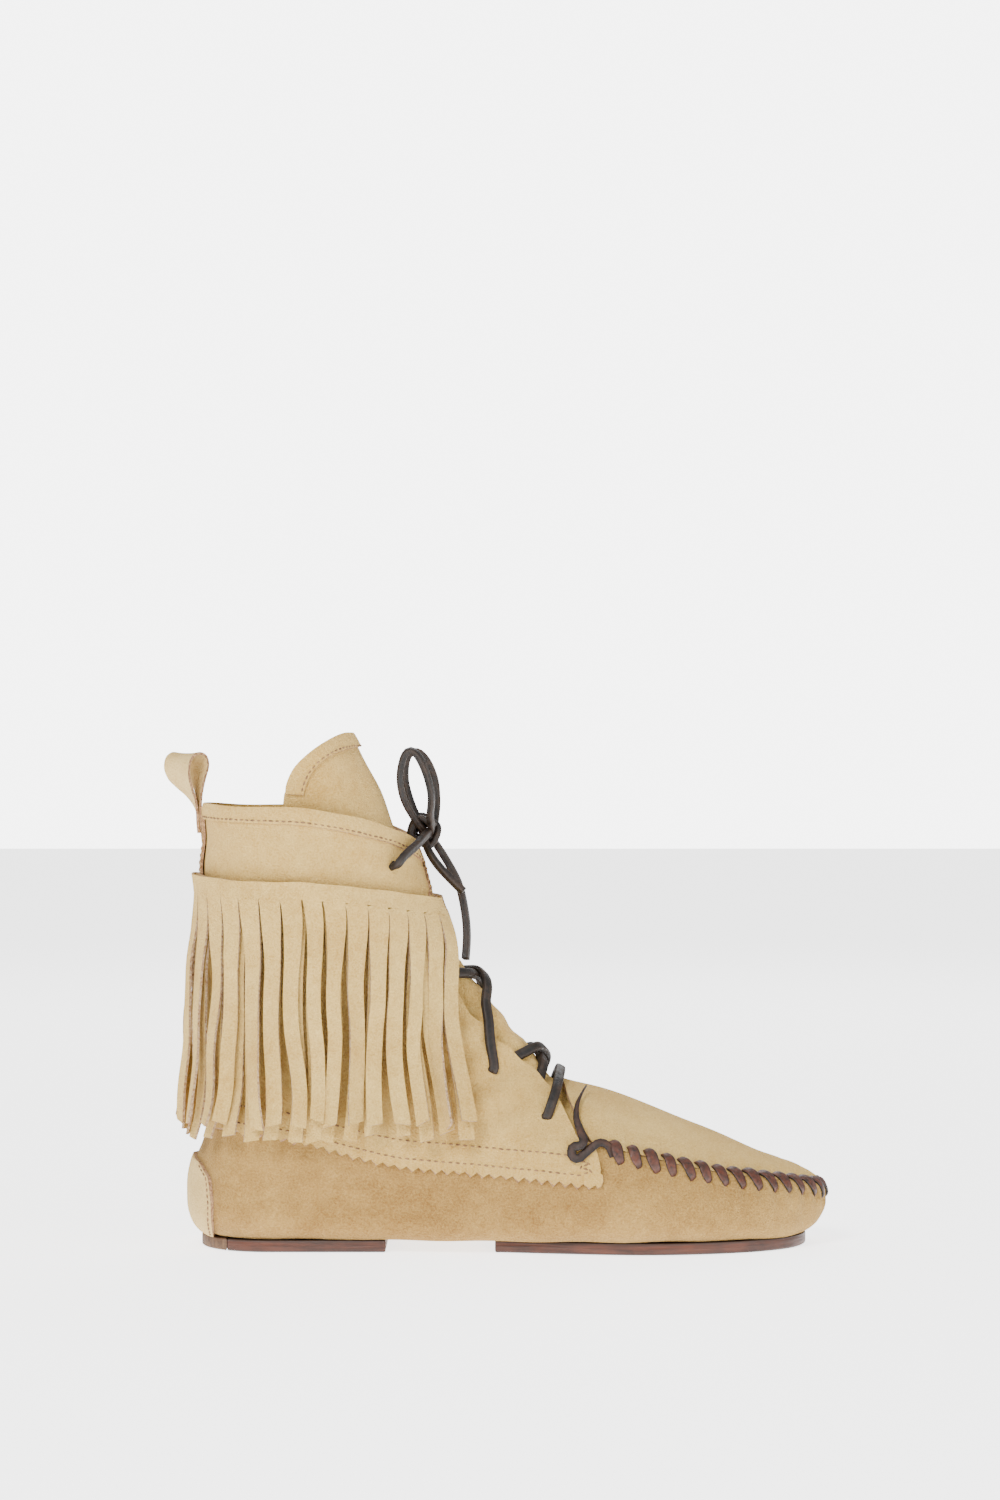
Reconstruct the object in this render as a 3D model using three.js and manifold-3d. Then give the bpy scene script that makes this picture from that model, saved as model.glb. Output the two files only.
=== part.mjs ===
// A right-foot suede moccasin boot: a soft ankle boot whose upper is a wrap folded up round the foot, whip-stitched
// with a leather thong to a plug over the toes, with a laced shaft, two layers of fringe, and a split leather sole.
//
// Millimetres, +Z up, the toe along +X, the lateral side at -Y. The origin is the middle of the heel's tread.
//
// Every upper piece is a layer of one boot shape, the last. The last is a row of cross-sections that fan from upright
// at the toe, round the heel, to level at the collar. Layers are cut to shape by outlines drawn in the side view.
import * as THREE from "three";
import { mergeVertices } from "three/addons/utils/BufferGeometryUtils.js";
import Module from "manifold-3d";

// ---- Sizes that can be set one by one -------------------------------------------------------------------------------
const LENGTH = 262; // heel to toe, over the upper
const SHAFT_HEIGHT = 175; // sole top to the collar's edge at the back
const BALL_WIDTH = 85; // across the widest part of the foot
const SOLE = 5; // thickness of the heel lift and the forefoot sole
const SUEDE = 1.5; // thickness of the upper's suede
const TRIM = 1.1; // thickness of the bands and the backstay
const GAP = 0.3; // clearance between touching pieces
const LACE_WIDTH = 4.2;
const LACE_THICKNESS = 2.8;
const THONG_WIDTH = 4;
const THONG_THICKNESS = 1.2;
const COUNTER = 1.2; // heel stiffener
const INSOLE_BOARD = 2.2;
const SOCK = 1.2;
const FRINGE_HEADER = 7; // depth of the uncut strip above the strands
const FRINGE_FALL = 99; // how far the outer strands hang below the header's top
const INNER_DROP = 5.5; // how much lower the inner strands end
const STRAND_WIDTH = 5.9;
const STITCHES = 29; // whip stitches round the plug
const FACING_GAP = 12; // between the two laced edges, at their closest
const LOOP_WIDTH = 15;
const TOOTH = 4.8; // width of one pinked tooth
const TOOTH_DEPTH = 2.2;

// The outlines below are drawn for a boot of these sizes, and stretched to the sizes above.
const DRAWN_LENGTH = 262;
const DRAWN_HEIGHT = 175;
const DRAWN_WIDTH = 85;
const alongX = LENGTH / DRAWN_LENGTH;
const upZ = SHAFT_HEIGHT / DRAWN_HEIGHT;
const acrossY = BALL_WIDTH / DRAWN_WIDTH;

const FACET = 0.4; // how far the flat faces of a layer cut inside the true surface

// Layers of the boot, as offsets from the last's surface: each clears the one below it.
const QUARTER_IN = GAP;
const QUARTER_OUT = QUARTER_IN + SUEDE;
const BAND_IN = QUARTER_OUT + GAP;
const BAND_OUT = BAND_IN + TRIM;
const INNER_FRINGE_IN = BAND_OUT + GAP;
const INNER_FRINGE_OUT = INNER_FRINGE_IN + TRIM;
const OUTER_FRINGE_IN = INNER_FRINGE_OUT + 3 * GAP;
const OUTER_FRINGE_OUT = OUTER_FRINGE_IN + TRIM;
const STAY_OUT = 0;
const STAY_IN = STAY_OUT - TRIM;
const LACE_UNDER = STAY_IN - FACET - GAP - LACE_THICKNESS / 2; // middle of a lace that runs behind the facings
const LACE_OVER = QUARTER_OUT + GAP + LACE_THICKNESS / 2; // middle of a lace that lies on the facings
const TONGUE_OUT = LACE_UNDER - LACE_THICKNESS / 2; // where a lace passes over it
const TONGUE_CROWN = -SUEDE - GAP; // between the facings, and under the plug
const COUNTER_OUT = -SUEDE - GAP;
const COUNTER_IN = COUNTER_OUT - COUNTER;
const INSIDE = COUNTER_IN - GAP;

const wasm = await Module();
wasm.setup();

// ---- Solids ---------------------------------------------------------------------------------------------------------

// A closed three.js geometry as a manifold-3d solid.
function solid(geometry) {
  const bare = geometry.clone();
  for (const name of Object.keys(bare.attributes)) {
    if (name !== "position") bare.deleteAttribute(name);
  }
  const merged = mergeVertices(bare, 1e-4);
  const corners = [];
  const index = merged.index.array;
  for (let i = 0; i < index.length; i += 3) {
    const [a, b, c] = index.subarray(i, i + 3);
    if (a !== b && b !== c && c !== a) corners.push(a, b, c);
  }
  const mesh = { numProp: 3, vertProperties: merged.attributes.position.array, triVerts: new Uint32Array(corners) };
  const made = new wasm.Manifold(new wasm.Mesh(mesh));
  if (made.volume() > 0) return made;
  for (let i = 0; i < corners.length; i += 3) {
    [corners[i], corners[i + 1]] = [corners[i + 1], corners[i]];
  }
  return new wasm.Manifold(new wasm.Mesh({ ...mesh, triVerts: new Uint32Array(corners) }));
}

// A closed skin over a row of rings of points, with both ends capped.
function loft(rings) {
  const points = [];
  const faces = [];
  const count = rings[0].length;
  for (const ring of rings) points.push(...ring.flatMap((p) => p.toArray()));
  for (let i = 0; i + 1 < rings.length; i++) {
    for (let j = 0; j < count; j++) {
      const a = i * count + j;
      const b = i * count + ((j + 1) % count);
      faces.push(a, b, a + count, b, b + count, a + count);
    }
  }
  for (const [ring, start, turned] of [[rings[0], 0, true], [rings.at(-1), (rings.length - 1) * count, false]]) {
    const middle = ring.reduce((sum, p) => sum.add(p), new THREE.Vector3()).divideScalar(count);
    const hub = points.length / 3;
    points.push(...middle.toArray());
    for (let j = 0; j < count; j++) {
      const [a, b] = [start + j, start + ((j + 1) % count)];
      faces.push(...(turned ? [b, a, hub] : [a, b, hub]));
    }
  }
  const geometry = new THREE.BufferGeometry();
  geometry.setAttribute("position", new THREE.Float32BufferAttribute(points, 3));
  geometry.setIndex(faces);
  return solid(geometry);
}

// A solid that runs straight across the boot behind a side-view outline, between two values of y.
function across(outline, from = -200, to = 200) {
  const shape = new THREE.Shape(outline.map(([x, z]) => new THREE.Vector2(x, z)));
  const geometry = new THREE.ExtrudeGeometry(shape, { depth: to - from, bevelEnabled: false });
  geometry.rotateX(Math.PI / 2);
  geometry.translate(0, to, 0);
  return solid(geometry);
}

// A block between two corners.
function block(low, high) {
  const size = high.map((v, i) => v - low[i]);
  const geometry = new THREE.BoxGeometry(...size);
  geometry.translate(...low.map((v, i) => v + size[i] / 2));
  return solid(geometry);
}

// A flat plate with a plan-view outline, from its lower face up.
function plate(outline, bottom, thickness) {
  const shape = new THREE.Shape(outline.map(([x, y]) => new THREE.Vector2(x, y)));
  const geometry = new THREE.ExtrudeGeometry(shape, { depth: thickness, bevelEnabled: false });
  geometry.translate(0, 0, bottom);
  return solid(geometry);
}

// A strap or lace along a row of points, given as { p, side }: side is the direction of its width.
function strap(path, width, thickness) {
  const rings = path.map(({ p, side }, i) => {
    const before = path[Math.max(i - 1, 0)].p;
    const after = path[Math.min(i + 1, path.length - 1)].p;
    const along = after.clone().sub(before).normalize();
    const wide = side.clone().addScaledVector(along, -side.dot(along)).normalize();
    const deep = new THREE.Vector3().crossVectors(along, wide);
    const corner = (w, t) => p.clone().addScaledVector(wide, (w * width) / 2).addScaledVector(deep, (t * thickness) / 2);
    return [
      corner(1, 0.4), corner(0.6, 1), corner(-0.6, 1), corner(-1, 0.4),
      corner(-1, -0.4), corner(-0.6, -1), corner(0.6, -1), corner(1, -0.4),
    ];
  });
  return loft(rings);
}

// ---- The last -------------------------------------------------------------------------------------------------------

// Cross-sections from the toe to above the collar. Each runs from a point on the front or top ridge to one on the
// bottom or back, both in the middle plane, with its half-width, its shift towards the medial side, how far down it is
// widest, and how square its lower half is. Heights are above the sole.
const SECTIONS = [
  // ridge x, z    bottom x, z   half  shift widest square
  [217.5, 10, 217.5, 10, 0, 6, 0.5, 2.2],
  [216, 17.5, 213.5, 2.5, 11.5, 5.5, 0.5, 2.4],
  [211, 23, 206, -1.5, 20.5, 5, 0.55, 2.8],
  [202.5, 27.5, 198, -3, 27.5, 4, 0.58, 3.2],
  [186.5, 33.5, 184, -3, 34.5, 2, 0.62, 3.6],
  [166, 42.4, 163, -3, 39.5, 0, 0.66, 4],
  [145.5, 51.2, 140, -3, 42.5, -1.5, 0.68, 4],
  [125, 59.3, 115, -3, 41, -2, 0.7, 4],
  [108, 63, 88, -3, 37.5, -1.5, 0.72, 4],
  [99.5, 70, 60, -3, 35, -1, 0.74, 4],
  [90, 80.5, 28, -3, 33.5, 0, 0.76, 4],
  [82.7, 90, 0, -3, 33, 0, 0.78, 4],
  [77.2, 97, -22, -2.5, 33, 0, 0.79, 3.6],
  [73.2, 101.5, -36, 1.5, 33, 0, 0.79, 3],
  [70, 105, -41.5, 9, 32.5, 0, 0.77, 2.6],
  [67.3, 108.8, -42.7, 19, 32, 0, 0.73, 2.3],
  [64.8, 112.6, -41, 28.5, 32, 0, 0.69, 2.2],
  [62.3, 115, -37.8, 37, 32, 0, 0.65, 2.2],
  [60.8, 119.5, -35.8, 46, 32.5, 0, 0.6, 2.2],
  [58.8, 126.5, -35.2, 65, 33.5, 0, 0.55, 2.2],
  [55.8, 134, -35.2, 95, 34.5, 0, 0.52, 2.2],
  [52.3, 143, -35.3, 125, 35.5, 0, 0.5, 2.2],
  [49, 154, -35.3, 150, 36, 0, 0.5, 2.2],
  [46.3, 163, -35, 172, 36, 0, 0.5, 2.2],
  [38.9, 182.6, -34, 192, 36, 0, 0.5, 2.2],
  [29.5, 200.6, -32, 212, 35, 0, 0.5, 2.2],
  [25, 210, -31, 221, 34.5, 0, 0.5, 2.2],
];
const LAST_SECTION = SECTIONS.length - 1;
const TOE_TIP = 0.3; // the first ring's place along the sections, just behind the toe's pole
const AROUND = 9; // faces from the ridge to the bottom
const TOE_RINGS = [0.3, 0.65, 1, 1.5]; // extra rings where the toe turns sharply
const SKIPPED = [14, 19, 25]; // sections too close to their neighbours to need a ring

const side2d = ([x, z]) => [x * alongX, SOLE + z * upZ];

// The section at a fraction of the way along, smoothed through its neighbours.
function section(s) {
  const i = Math.min(Math.floor(s), LAST_SECTION - 1);
  const t = s - i;
  const [a, b, c, d] = [-1, 0, 1, 2].map((k) => SECTIONS[THREE.MathUtils.clamp(i + k, 0, LAST_SECTION)]);
  return b.map((_, k) => {
    const slopeB = (c[k] - a[k]) / 2;
    const slopeC = (d[k] - b[k]) / 2;
    const rest = 3 * (c[k] - b[k]) - 2 * slopeB - slopeC;
    const bend = 2 * (b[k] - c[k]) + slopeB + slopeC;
    return b[k] + t * (slopeB + t * (rest + t * bend));
  });
}

// The direction out of the boot, in the middle plane, at the ridge (column 0) or the bottom (column 2) of a section.
function outward(s, column) {
  const before = section(Math.max(s - 0.05, 0));
  const after = section(Math.min(s + 0.05, LAST_SECTION));
  const along = new THREE.Vector2((after[column] - before[column]) * alongX, (after[column + 1] - before[column + 1]) * upZ);
  const turned = column === 0 ? new THREE.Vector2(along.y, -along.x) : new THREE.Vector2(-along.y, along.x);
  return turned.normalize();
}

// A point of the last. angle runs from 0 at the ridge to pi at the bottom, negative on the lateral side, and offset is
// how far it stands off the last's surface.
function skin(s, angle, offset = 0) {
  const [rx, rz, bx, bz, half, shift, widest, square] = section(s);
  const [ridgeX, ridgeZ] = side2d([rx, rz]);
  const [bottomX, bottomZ] = side2d([bx, bz]);
  const ridge = new THREE.Vector2(ridgeX, ridgeZ).addScaledVector(outward(s, 0), offset);
  const bottom = new THREE.Vector2(bottomX, bottomZ).addScaledVector(outward(s, 2), offset);
  const turn = Math.abs(angle);
  const power = turn > Math.PI / 2 ? 2 / square : 1;
  const out = Math.abs(Math.sin(turn)) ** power;
  const down = Math.abs(Math.cos(turn)) ** power;
  const share = turn > Math.PI / 2 ? widest + (1 - widest) * down : widest * (1 - down);
  const middle = ridge.lerp(bottom, share);
  const y = shift * acrossY + Math.sign(angle) * (half * acrossY + offset) * out;
  return new THREE.Vector3(middle.x, y, Math.max(middle.y, SOLE - offset));
}

// The whole last, standing off its surface by a distance or by a function of the section and angle.
function last(offset) {
  const standing = typeof offset === "function" ? offset : () => offset;
  const stops = [...TOE_RINGS];
  for (let s = 2; s <= LAST_SECTION; s++) if (!SKIPPED.includes(s)) stops.push(s);
  const rings = stops.map((s) => {
    const ring = [];
    for (let k = -AROUND + 1; k <= AROUND; k++) {
      const angle = (Math.PI * k) / AROUND;
      ring.push(skin(s, angle, standing(s, angle)));
    }
    return ring;
  });
  const [tipX, tipZ, , , , tipShift] = SECTIONS[0];
  const [x, z] = side2d([tipX, tipZ]);
  const tip = new THREE.Vector3(x + standing(0, 0), tipShift * acrossY, z);
  return loft([rings[0].map(() => tip.clone()), ...rings]);
}

// The part of the last between two offsets.
const layer = (inner, outer) => last(outer).subtract(last(inner));

// The section at which the surface reaches a height, at one angle.
function sectionAt(height, angle, offset = 0) {
  let [low, high] = [TOE_TIP, LAST_SECTION];
  for (let i = 0; i < 40; i++) {
    const mid = (low + high) / 2;
    if (skin(mid, angle, offset).z < height) low = mid;
    else high = mid;
  }
  return low;
}

// The section and angle of the lateral surface point that the side view shows at x, z.
function place([x, z]) {
  let [front, back] = [0, Math.PI];
  for (let i = 0; i < 40; i++) {
    const mid = (front + back) / 2;
    if (skin(sectionAt(z, -mid), -mid).x > x) front = mid;
    else back = mid;
  }
  return { s: sectionAt(z, -front), angle: front };
}

// ---- Side-view lines, in the drawn size, heights above the sole -------------------------------------------------------
const FAR = 400;
const curve = (points, count) => {
  const spline = new THREE.SplineCurve(points.map((p) => new THREE.Vector2(...side2d(p))));
  return spline.getPoints(count).map((p) => [p.x, p.y]);
};
const shifted = (line, up) => line.map(([x, z]) => [x, z + up]);

// Where the wrap meets the plug, from the throat to the front of the toe.
const SEAM = curve([[104, 44], [124, 38.2], [140, 34.6], [158, 30], [174.5, 26.6], [192, 23.4], [206, 21], [222, 16.5]], 16);
// The pinked lower edge of the quarters, from the back to its front end.
const HEM = curve([[-60, 44.5], [-21, 43.4], [-1, 41], [12, 38.4], [26, 34.6], [40, 31.4], [54, 29.8], [89, 26.7], [123.5, 23.5]], 24);
// The collar's edge, from behind the heel, round the front corner.
const COLLAR = curve(
  [[-60, 176.5], [-36, 175.5], [-20, 174], [3, 173.5], [16.4, 171.1], [28.9, 168.2], [37, 165], [44.7, 161.4],
    [48.6, 157.2], [52.3, 151.5], [55.3, 145.5], [57.5, 138]], 22);
// The laced edge of each quarter, from its end on the wrap up to the collar.
const FACING = curve(
  [[124, 30], [121.5, 38.5], [115, 42], [112.5, 46.6], [106.5, 55.6], [96, 66.8], [79, 81], [68.4, 93], [63.6, 104],
    [60.4, 115], [58.2, 125], [57.2, 133]], 22);
// The seam that holds the band along the collar and down the facing, under the fringe.
const BAND_SEAM = curve(
  [[-60, 170], [-36, 169], [-29, 168.3], [-12.4, 167.4], [4.2, 166.6], [16.4, 164.6], [28.9, 161.4], [37.8, 158.9],
    [45.5, 154.5], [49.6, 150.4], [52.3, 143.9], [53, 137.9], [54, 127], [56.6, 116]], 26);
// The fringe's top edge.
const FRINGE_TOP = curve([[-60, 147.5], [-38, 146.8], [-20.5, 144.8], [4.2, 144], [28.9, 141.5], [53.7, 136.7], [66, 134]], 12);
const FRINGE_ROOT = shifted(FRINGE_TOP, -FRINGE_HEADER);
// The plug's back edge over the instep.
const THROAT = curve([[107, 95], [108.5, 64], [110.5, 59], [117, 46], [119.5, 38]], 6);

const heightOn = (line, x) => {
  const i = line.findIndex((p, k) => k > 0 && p[0] >= x);
  const [a, b] = [line[Math.max(i, 1) - 1], line[Math.max(i, 1)]];
  return a[1] + ((b[1] - a[1]) * (x - a[0])) / (b[0] - a[0]);
};
const below = (line) => [...line, [line.at(-1)[0], -FAR], [line[0][0], -FAR]];
const above = (line) => [...line, [line.at(-1)[0], FAR], [line[0][0], FAR]];

// A side-view line with pinked teeth hanging from it.
function pinked(line) {
  const start = line[0][0];
  const end = line.at(-1)[0];
  const count = Math.round((end - start) / TOOTH);
  const teeth = [];
  for (let i = 0; i <= 2 * count; i++) {
    const x = start + ((end - start) * i) / (2 * count);
    teeth.push([x, heightOn(line, x) - (i % 2 ? 0 : TOOTH_DEPTH)]);
  }
  return teeth;
}

// ---- The pieces -----------------------------------------------------------------------------------------------------
const pieces = {};
const frontSlot = block([20 * alongX, -FACING_GAP / 2, SOLE], [FAR, FACING_GAP / 2, FAR]);
const lateralHalf = block([-FAR, -FAR, -FAR], [FAR, -GAP / 2, FAR]);
const medialHalf = block([-FAR, GAP / 2, -FAR], [FAR, FAR, FAR]);

// Sole: a stacked heel lift with a rubber back corner, and a forefoot sole that stops short of the waist.
const HEEL_BACK = -38 * alongX;
const HEEL_BREAST = 38 * alongX;
const HEEL_HALF = 29 * acrossY;
const RUBBER_DEPTH = 12 * alongX;
const HEEL_CENTRE = HEEL_BACK + HEEL_HALF;
const heelOutline = [[HEEL_BREAST, HEEL_HALF]];
const HEEL_ARC = 14;
for (let i = 0; i <= HEEL_ARC; i++) {
  const angle = Math.PI / 2 + (Math.PI * i) / HEEL_ARC;
  heelOutline.push([HEEL_CENTRE + HEEL_HALF * Math.cos(angle), HEEL_HALF * Math.sin(angle)]);
}
heelOutline.push([HEEL_BREAST, -HEEL_HALF]);
const heel = plate(heelOutline, 0, SOLE - GAP);
pieces.heel_lift = heel.intersect(block([HEEL_BACK + RUBBER_DEPTH, -FAR, -FAR], [FAR, FAR, FAR]));
pieces.heel_rubber_corner = heel.intersect(block([-FAR, -FAR, -FAR], [HEEL_BACK + RUBBER_DEPTH - GAP, FAR, FAR]));

const SOLE_EDGE = [
  [82, -29], [110, -34.5], [140, -38.5], [166, -35.5], [188, -27.5], [203, -15], [209.5, 3],
  [205.5, 19], [192, 28.5], [168, 34], [140, 35], [110, 31.5], [82, 27],
];
const soleCurve = new THREE.SplineCurve(SOLE_EDGE.map(([x, y]) => new THREE.Vector2(x * alongX, y * acrossY)));
pieces.forefoot_sole = plate(soleCurve.getPoints(36).map((p) => [p.x, p.y]), 0, SOLE - GAP);

// Inside: an insole board and a leather sock in the shoe's bottom, and a stiff counter round the heel.
const boardBottom = SOLE - INSIDE;
const inside = last(INSIDE - 0.4);
const slab = (bottom, thickness) => block([-FAR, -FAR, bottom], [FAR, FAR, bottom + thickness]);
pieces.insole_board = inside.intersect(slab(boardBottom + 0.4, INSOLE_BOARD));
pieces.insole_sock = inside.intersect(slab(boardBottom + 0.4 + INSOLE_BOARD + GAP, SOCK));
const counterOutline = [[-60, 3], [30, 3], [34, 12], [24, 30], [-2, 38], [-60, 40]].map(side2d);
pieces.heel_counter = layer(COUNTER_IN, COUNTER_OUT).intersect(across(counterOutline));

// The wrap: one sheet under the foot and up its sides, to the plug's seam and up under the quarters.
const WRAP_UNDERLAP = 9; // how far it reaches up behind the quarters' lower edge
const wrapTop = [...shifted(HEM, WRAP_UNDERLAP).filter(([x]) => x < SEAM[0][0] - 8 * alongX), ...SEAM];
const wholeUpper = layer(-SUEDE, 0);
const plugLine = shifted(SEAM, GAP);
const wrap = wholeUpper.intersect(across(below(wrapTop)));
const throatEnd = THROAT.at(-1)[0];
const plugOutline = [
  ...THROAT.slice(0, -1), [throatEnd, heightOn(plugLine, throatEnd)], ...plugLine.filter(([x]) => x > throatEnd + 1),
  [FAR, plugLine.at(-1)[1]], [FAR, FAR], [THROAT[0][0], FAR],
];
const plug = wholeUpper.intersect(across(plugOutline));

// A patch over the back of the heel.
const PATCH = [[-90, 1], [-31.5, 1], [-31, 15], [-32.5, 25], [-36, 29.8], [-40, 31], [-90, 31.5]].map(side2d);
pieces.heel_patch = layer(GAP, GAP + SUEDE).intersect(across(PATCH));

// Quarters: the two sides of the shaft, joined at the back, with a pinked lower edge and open down the front.
const EYELETS = [[102.6, 49.5], [80.4, 67.8], [57.5, 104], [39.2, 149.8]].map((p) => place(side2d(p)));
const HOLE_SIDES = 8;
function eyeletCutter({ s, angle }, sign) {
  const out = skin(s, sign * angle, 9);
  const deep = skin(s, sign * angle, -9);
  const path = new THREE.LineCurve3(deep, out);
  const radius = LACE_WIDTH / 2 + 2 * GAP;
  const ring = new THREE.Shape(
    Array.from({ length: HOLE_SIDES }, (_, i) => {
      const turn = (2 * Math.PI * i) / HOLE_SIDES;
      return new THREE.Vector2(radius * Math.cos(turn), radius * Math.sin(turn));
    }),
  );
  return solid(new THREE.ExtrudeGeometry(ring, { steps: 1, bevelEnabled: false, extrudePath: path }));
}
const pierced = (piece, sign) => EYELETS.reduce((left, eyelet) => left.subtract(eyeletCutter(eyelet, sign)), piece);
const quarterOutline = across([...pinked(HEM), ...FACING, ...[...COLLAR].reverse()]);
const quarters = layer(QUARTER_IN, QUARTER_OUT).intersect(quarterOutline).subtract(frontSlot);
pieces.quarter_lateral = pierced(quarters.intersect(lateralHalf), -1);
pieces.quarter_medial = pierced(quarters.intersect(medialHalf), 1);

// Eyelet stays: a strip behind each row of lace holes.
const STAY_MARGIN = 6.5;
const stayRow = EYELETS.map(({ s, angle }) => skin(s, -angle));
const stayLine = new THREE.SplineCurve(stayRow.map((p) => new THREE.Vector2(p.x, p.z))).getPoints(9);
const stayEdge = (sign) => stayLine.map((p, i) => {
  const along = stayLine[Math.min(i + 1, 9)].clone().sub(stayLine[Math.max(i - 1, 0)]).normalize();
  const ends = i === 0 ? -STAY_MARGIN : i === 9 ? STAY_MARGIN : 0;
  return [p.x + along.x * ends - sign * along.y * STAY_MARGIN, p.y + along.y * ends + sign * along.x * STAY_MARGIN];
});
const behindThroat = [[-FAR, -FAR], [-FAR, FAR], ...THROAT.map(([x, z]) => [x - GAP, z]), [THROAT.at(-1)[0], -FAR]];
const stayArea = across([...stayEdge(1), ...stayEdge(-1).reverse()]).intersect(quarterOutline)
  .intersect(across(above(shifted(wrapTop, GAP)))).intersect(across(behindThroat));
const stays = layer(STAY_IN, STAY_OUT).intersect(stayArea).subtract(frontSlot);
pieces.eyelet_stay_lateral = pierced(stays.intersect(lateralHalf), -1);
pieces.eyelet_stay_medial = pierced(stays.intersect(medialHalf), 1);

// The band along the collar and down each facing, and the backstay over the back seam.
const bandEnd = BAND_SEAM.at(-1);
const bandOutline = across([...BAND_SEAM, [FAR, bandEnd[1]], [FAR, FAR], [BAND_SEAM[0][0], FAR]]).intersect(quarterOutline);
const BACKSTAY_HALF = 4.5;
const backSlot = block([-FAR, -BACKSTAY_HALF - GAP, -FAR], [0, BACKSTAY_HALF + GAP, FAR]);
const bands = layer(BAND_IN, BAND_OUT).intersect(bandOutline).subtract(frontSlot).subtract(backSlot);
pieces.collar_band_lateral = bands.intersect(lateralHalf);
pieces.collar_band_medial = bands.intersect(medialHalf);
const backstayOutline = [[-60, 56], [-20, 56], [-20, 173.5], [-60, 173.5]].map(side2d);
pieces.backstay = layer(BAND_IN, BAND_OUT).intersect(across(backstayOutline, -BACKSTAY_HALF, BACKSTAY_HALF));

// The tongue, inside the facings and standing up above the collar, with its own edge band.
const TONGUE = curve(
  [[25.5, 198.6], [23.3, 203.2], [19, 203.6], [7, 195.4], [1.4, 189.7], [-1.8, 181.5], [-2.6, 172], [6, 140], [30, 108],
    [62, 74], [88, 50]], 30);
const TONGUE_UNDER_PLUG = 4;
const tongueFront = THROAT.slice(1).reverse().map(([x, z]) => [x + TONGUE_UNDER_PLUG, z]);
const tongueOutline = [...TONGUE, ...tongueFront, [FAR, THROAT[1][1]], [FAR, TONGUE[0][1]]];
// Between the facings the tongue is pushed up level with the plug. Beside them, and up the shaft, it lies deep enough
// for a lace to pass over it.
const facingAngle = (s) => 0.2 + 0.38 * THREE.MathUtils.clamp((18 - s) / 10, 0, 1.1);
function tongueDepth(s, angle) {
  const beside = THREE.MathUtils.smoothstep(Math.abs(angle) / facingAngle(s), 0.4, 0.85);
  const up = THREE.MathUtils.smoothstep(s, 14, 17);
  return THREE.MathUtils.lerp(TONGUE_CROWN, TONGUE_OUT, Math.max(beside, up));
}
pieces.tongue = last(tongueDepth).subtract(last((s, angle) => tongueDepth(s, angle) - SUEDE)).intersect(across(tongueOutline));
const TONGUE_BAND = 8;
const TONGUE_BAND_FOOT = 179; // it ends above the collar, so the tongue can lean in
const bandEdge = TONGUE.slice(0, 17);
const bandInner = bandEdge.map(([x, z], i) => {
  const a = bandEdge[Math.max(i - 1, 0)];
  const b = bandEdge[Math.min(i + 1, bandEdge.length - 1)];
  const length = Math.hypot(b[0] - a[0], b[1] - a[1]);
  return [x - ((b[1] - a[1]) / length) * TONGUE_BAND, z + ((b[0] - a[0]) / length) * TONGUE_BAND];
});
const tongueBandOutline = [[FAR, bandEdge[0][1]], ...bandEdge, ...bandInner.reverse(), [FAR, bandEdge[0][1] - TONGUE_BAND]];
const bandDepth = (rise) => (s, angle) => tongueDepth(s, angle) + GAP + rise;
pieces.tongue_band = last(bandDepth(TRIM)).subtract(last(bandDepth(0))).intersect(across(tongueBandOutline))
  .intersect(block([-FAR, -FAR, side2d([0, TONGUE_BAND_FOOT])[1]], [FAR, FAR, FAR]));

// ---- Fringe: two headers sewn round the shaft, with strands cut below them ---------------------------------------------
// A thickened sheet of quads. Each is a loop of four [column, row] corners; placeAt puts a corner in space, on the
// outer face for side 1 and the inner face for side 0.
function sheet(quads, placeAt) {
  const points = [];
  const faces = [];
  const known = new Map();
  const vertex = ([column, row], side) => {
    const key = `${column} ${row} ${side}`;
    if (!known.has(key)) {
      known.set(key, points.length / 3);
      points.push(...placeAt(column, row, side).toArray());
    }
    return known.get(key);
  };
  const edges = new Set(quads.flatMap((quad) => quad.map((corner, i) => `${corner} ${quad[(i + 1) % 4]}`)));
  for (const quad of quads) {
    const [a, b, c, d] = quad.map((corner) => vertex(corner, 1));
    const [e, f, g, h] = quad.map((corner) => vertex(corner, 0));
    faces.push(a, b, c, a, c, d, e, g, f, e, h, g);
    quad.forEach((corner, i) => {
      const next = quad[(i + 1) % 4];
      if (edges.has(`${next} ${corner}`)) return;
      faces.push(vertex(corner, 0), vertex(next, 0), vertex(next, 1), vertex(corner, 0), vertex(next, 1), vertex(corner, 1));
    });
  }
  const geometry = new THREE.BufferGeometry();
  geometry.setAttribute("position", new THREE.Float32BufferAttribute(points, 3));
  geometry.setIndex(faces);
  return solid(geometry);
}

// The fringe's front edge, from the crown of the shaft at its roots down over the instep to its tips, as angles of the
// last at even heights.
const EDGE_TOP = side2d([56, 137]);
const EDGE_TIP = side2d([69.5, 40]);
const EDGE_STOPS = 6;
const CROWN_ANGLE = Math.asin((FACING_GAP / 2 + GAP) / (SECTIONS[20][4] * acrossY));
const ARC_STEPS = 24;
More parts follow.
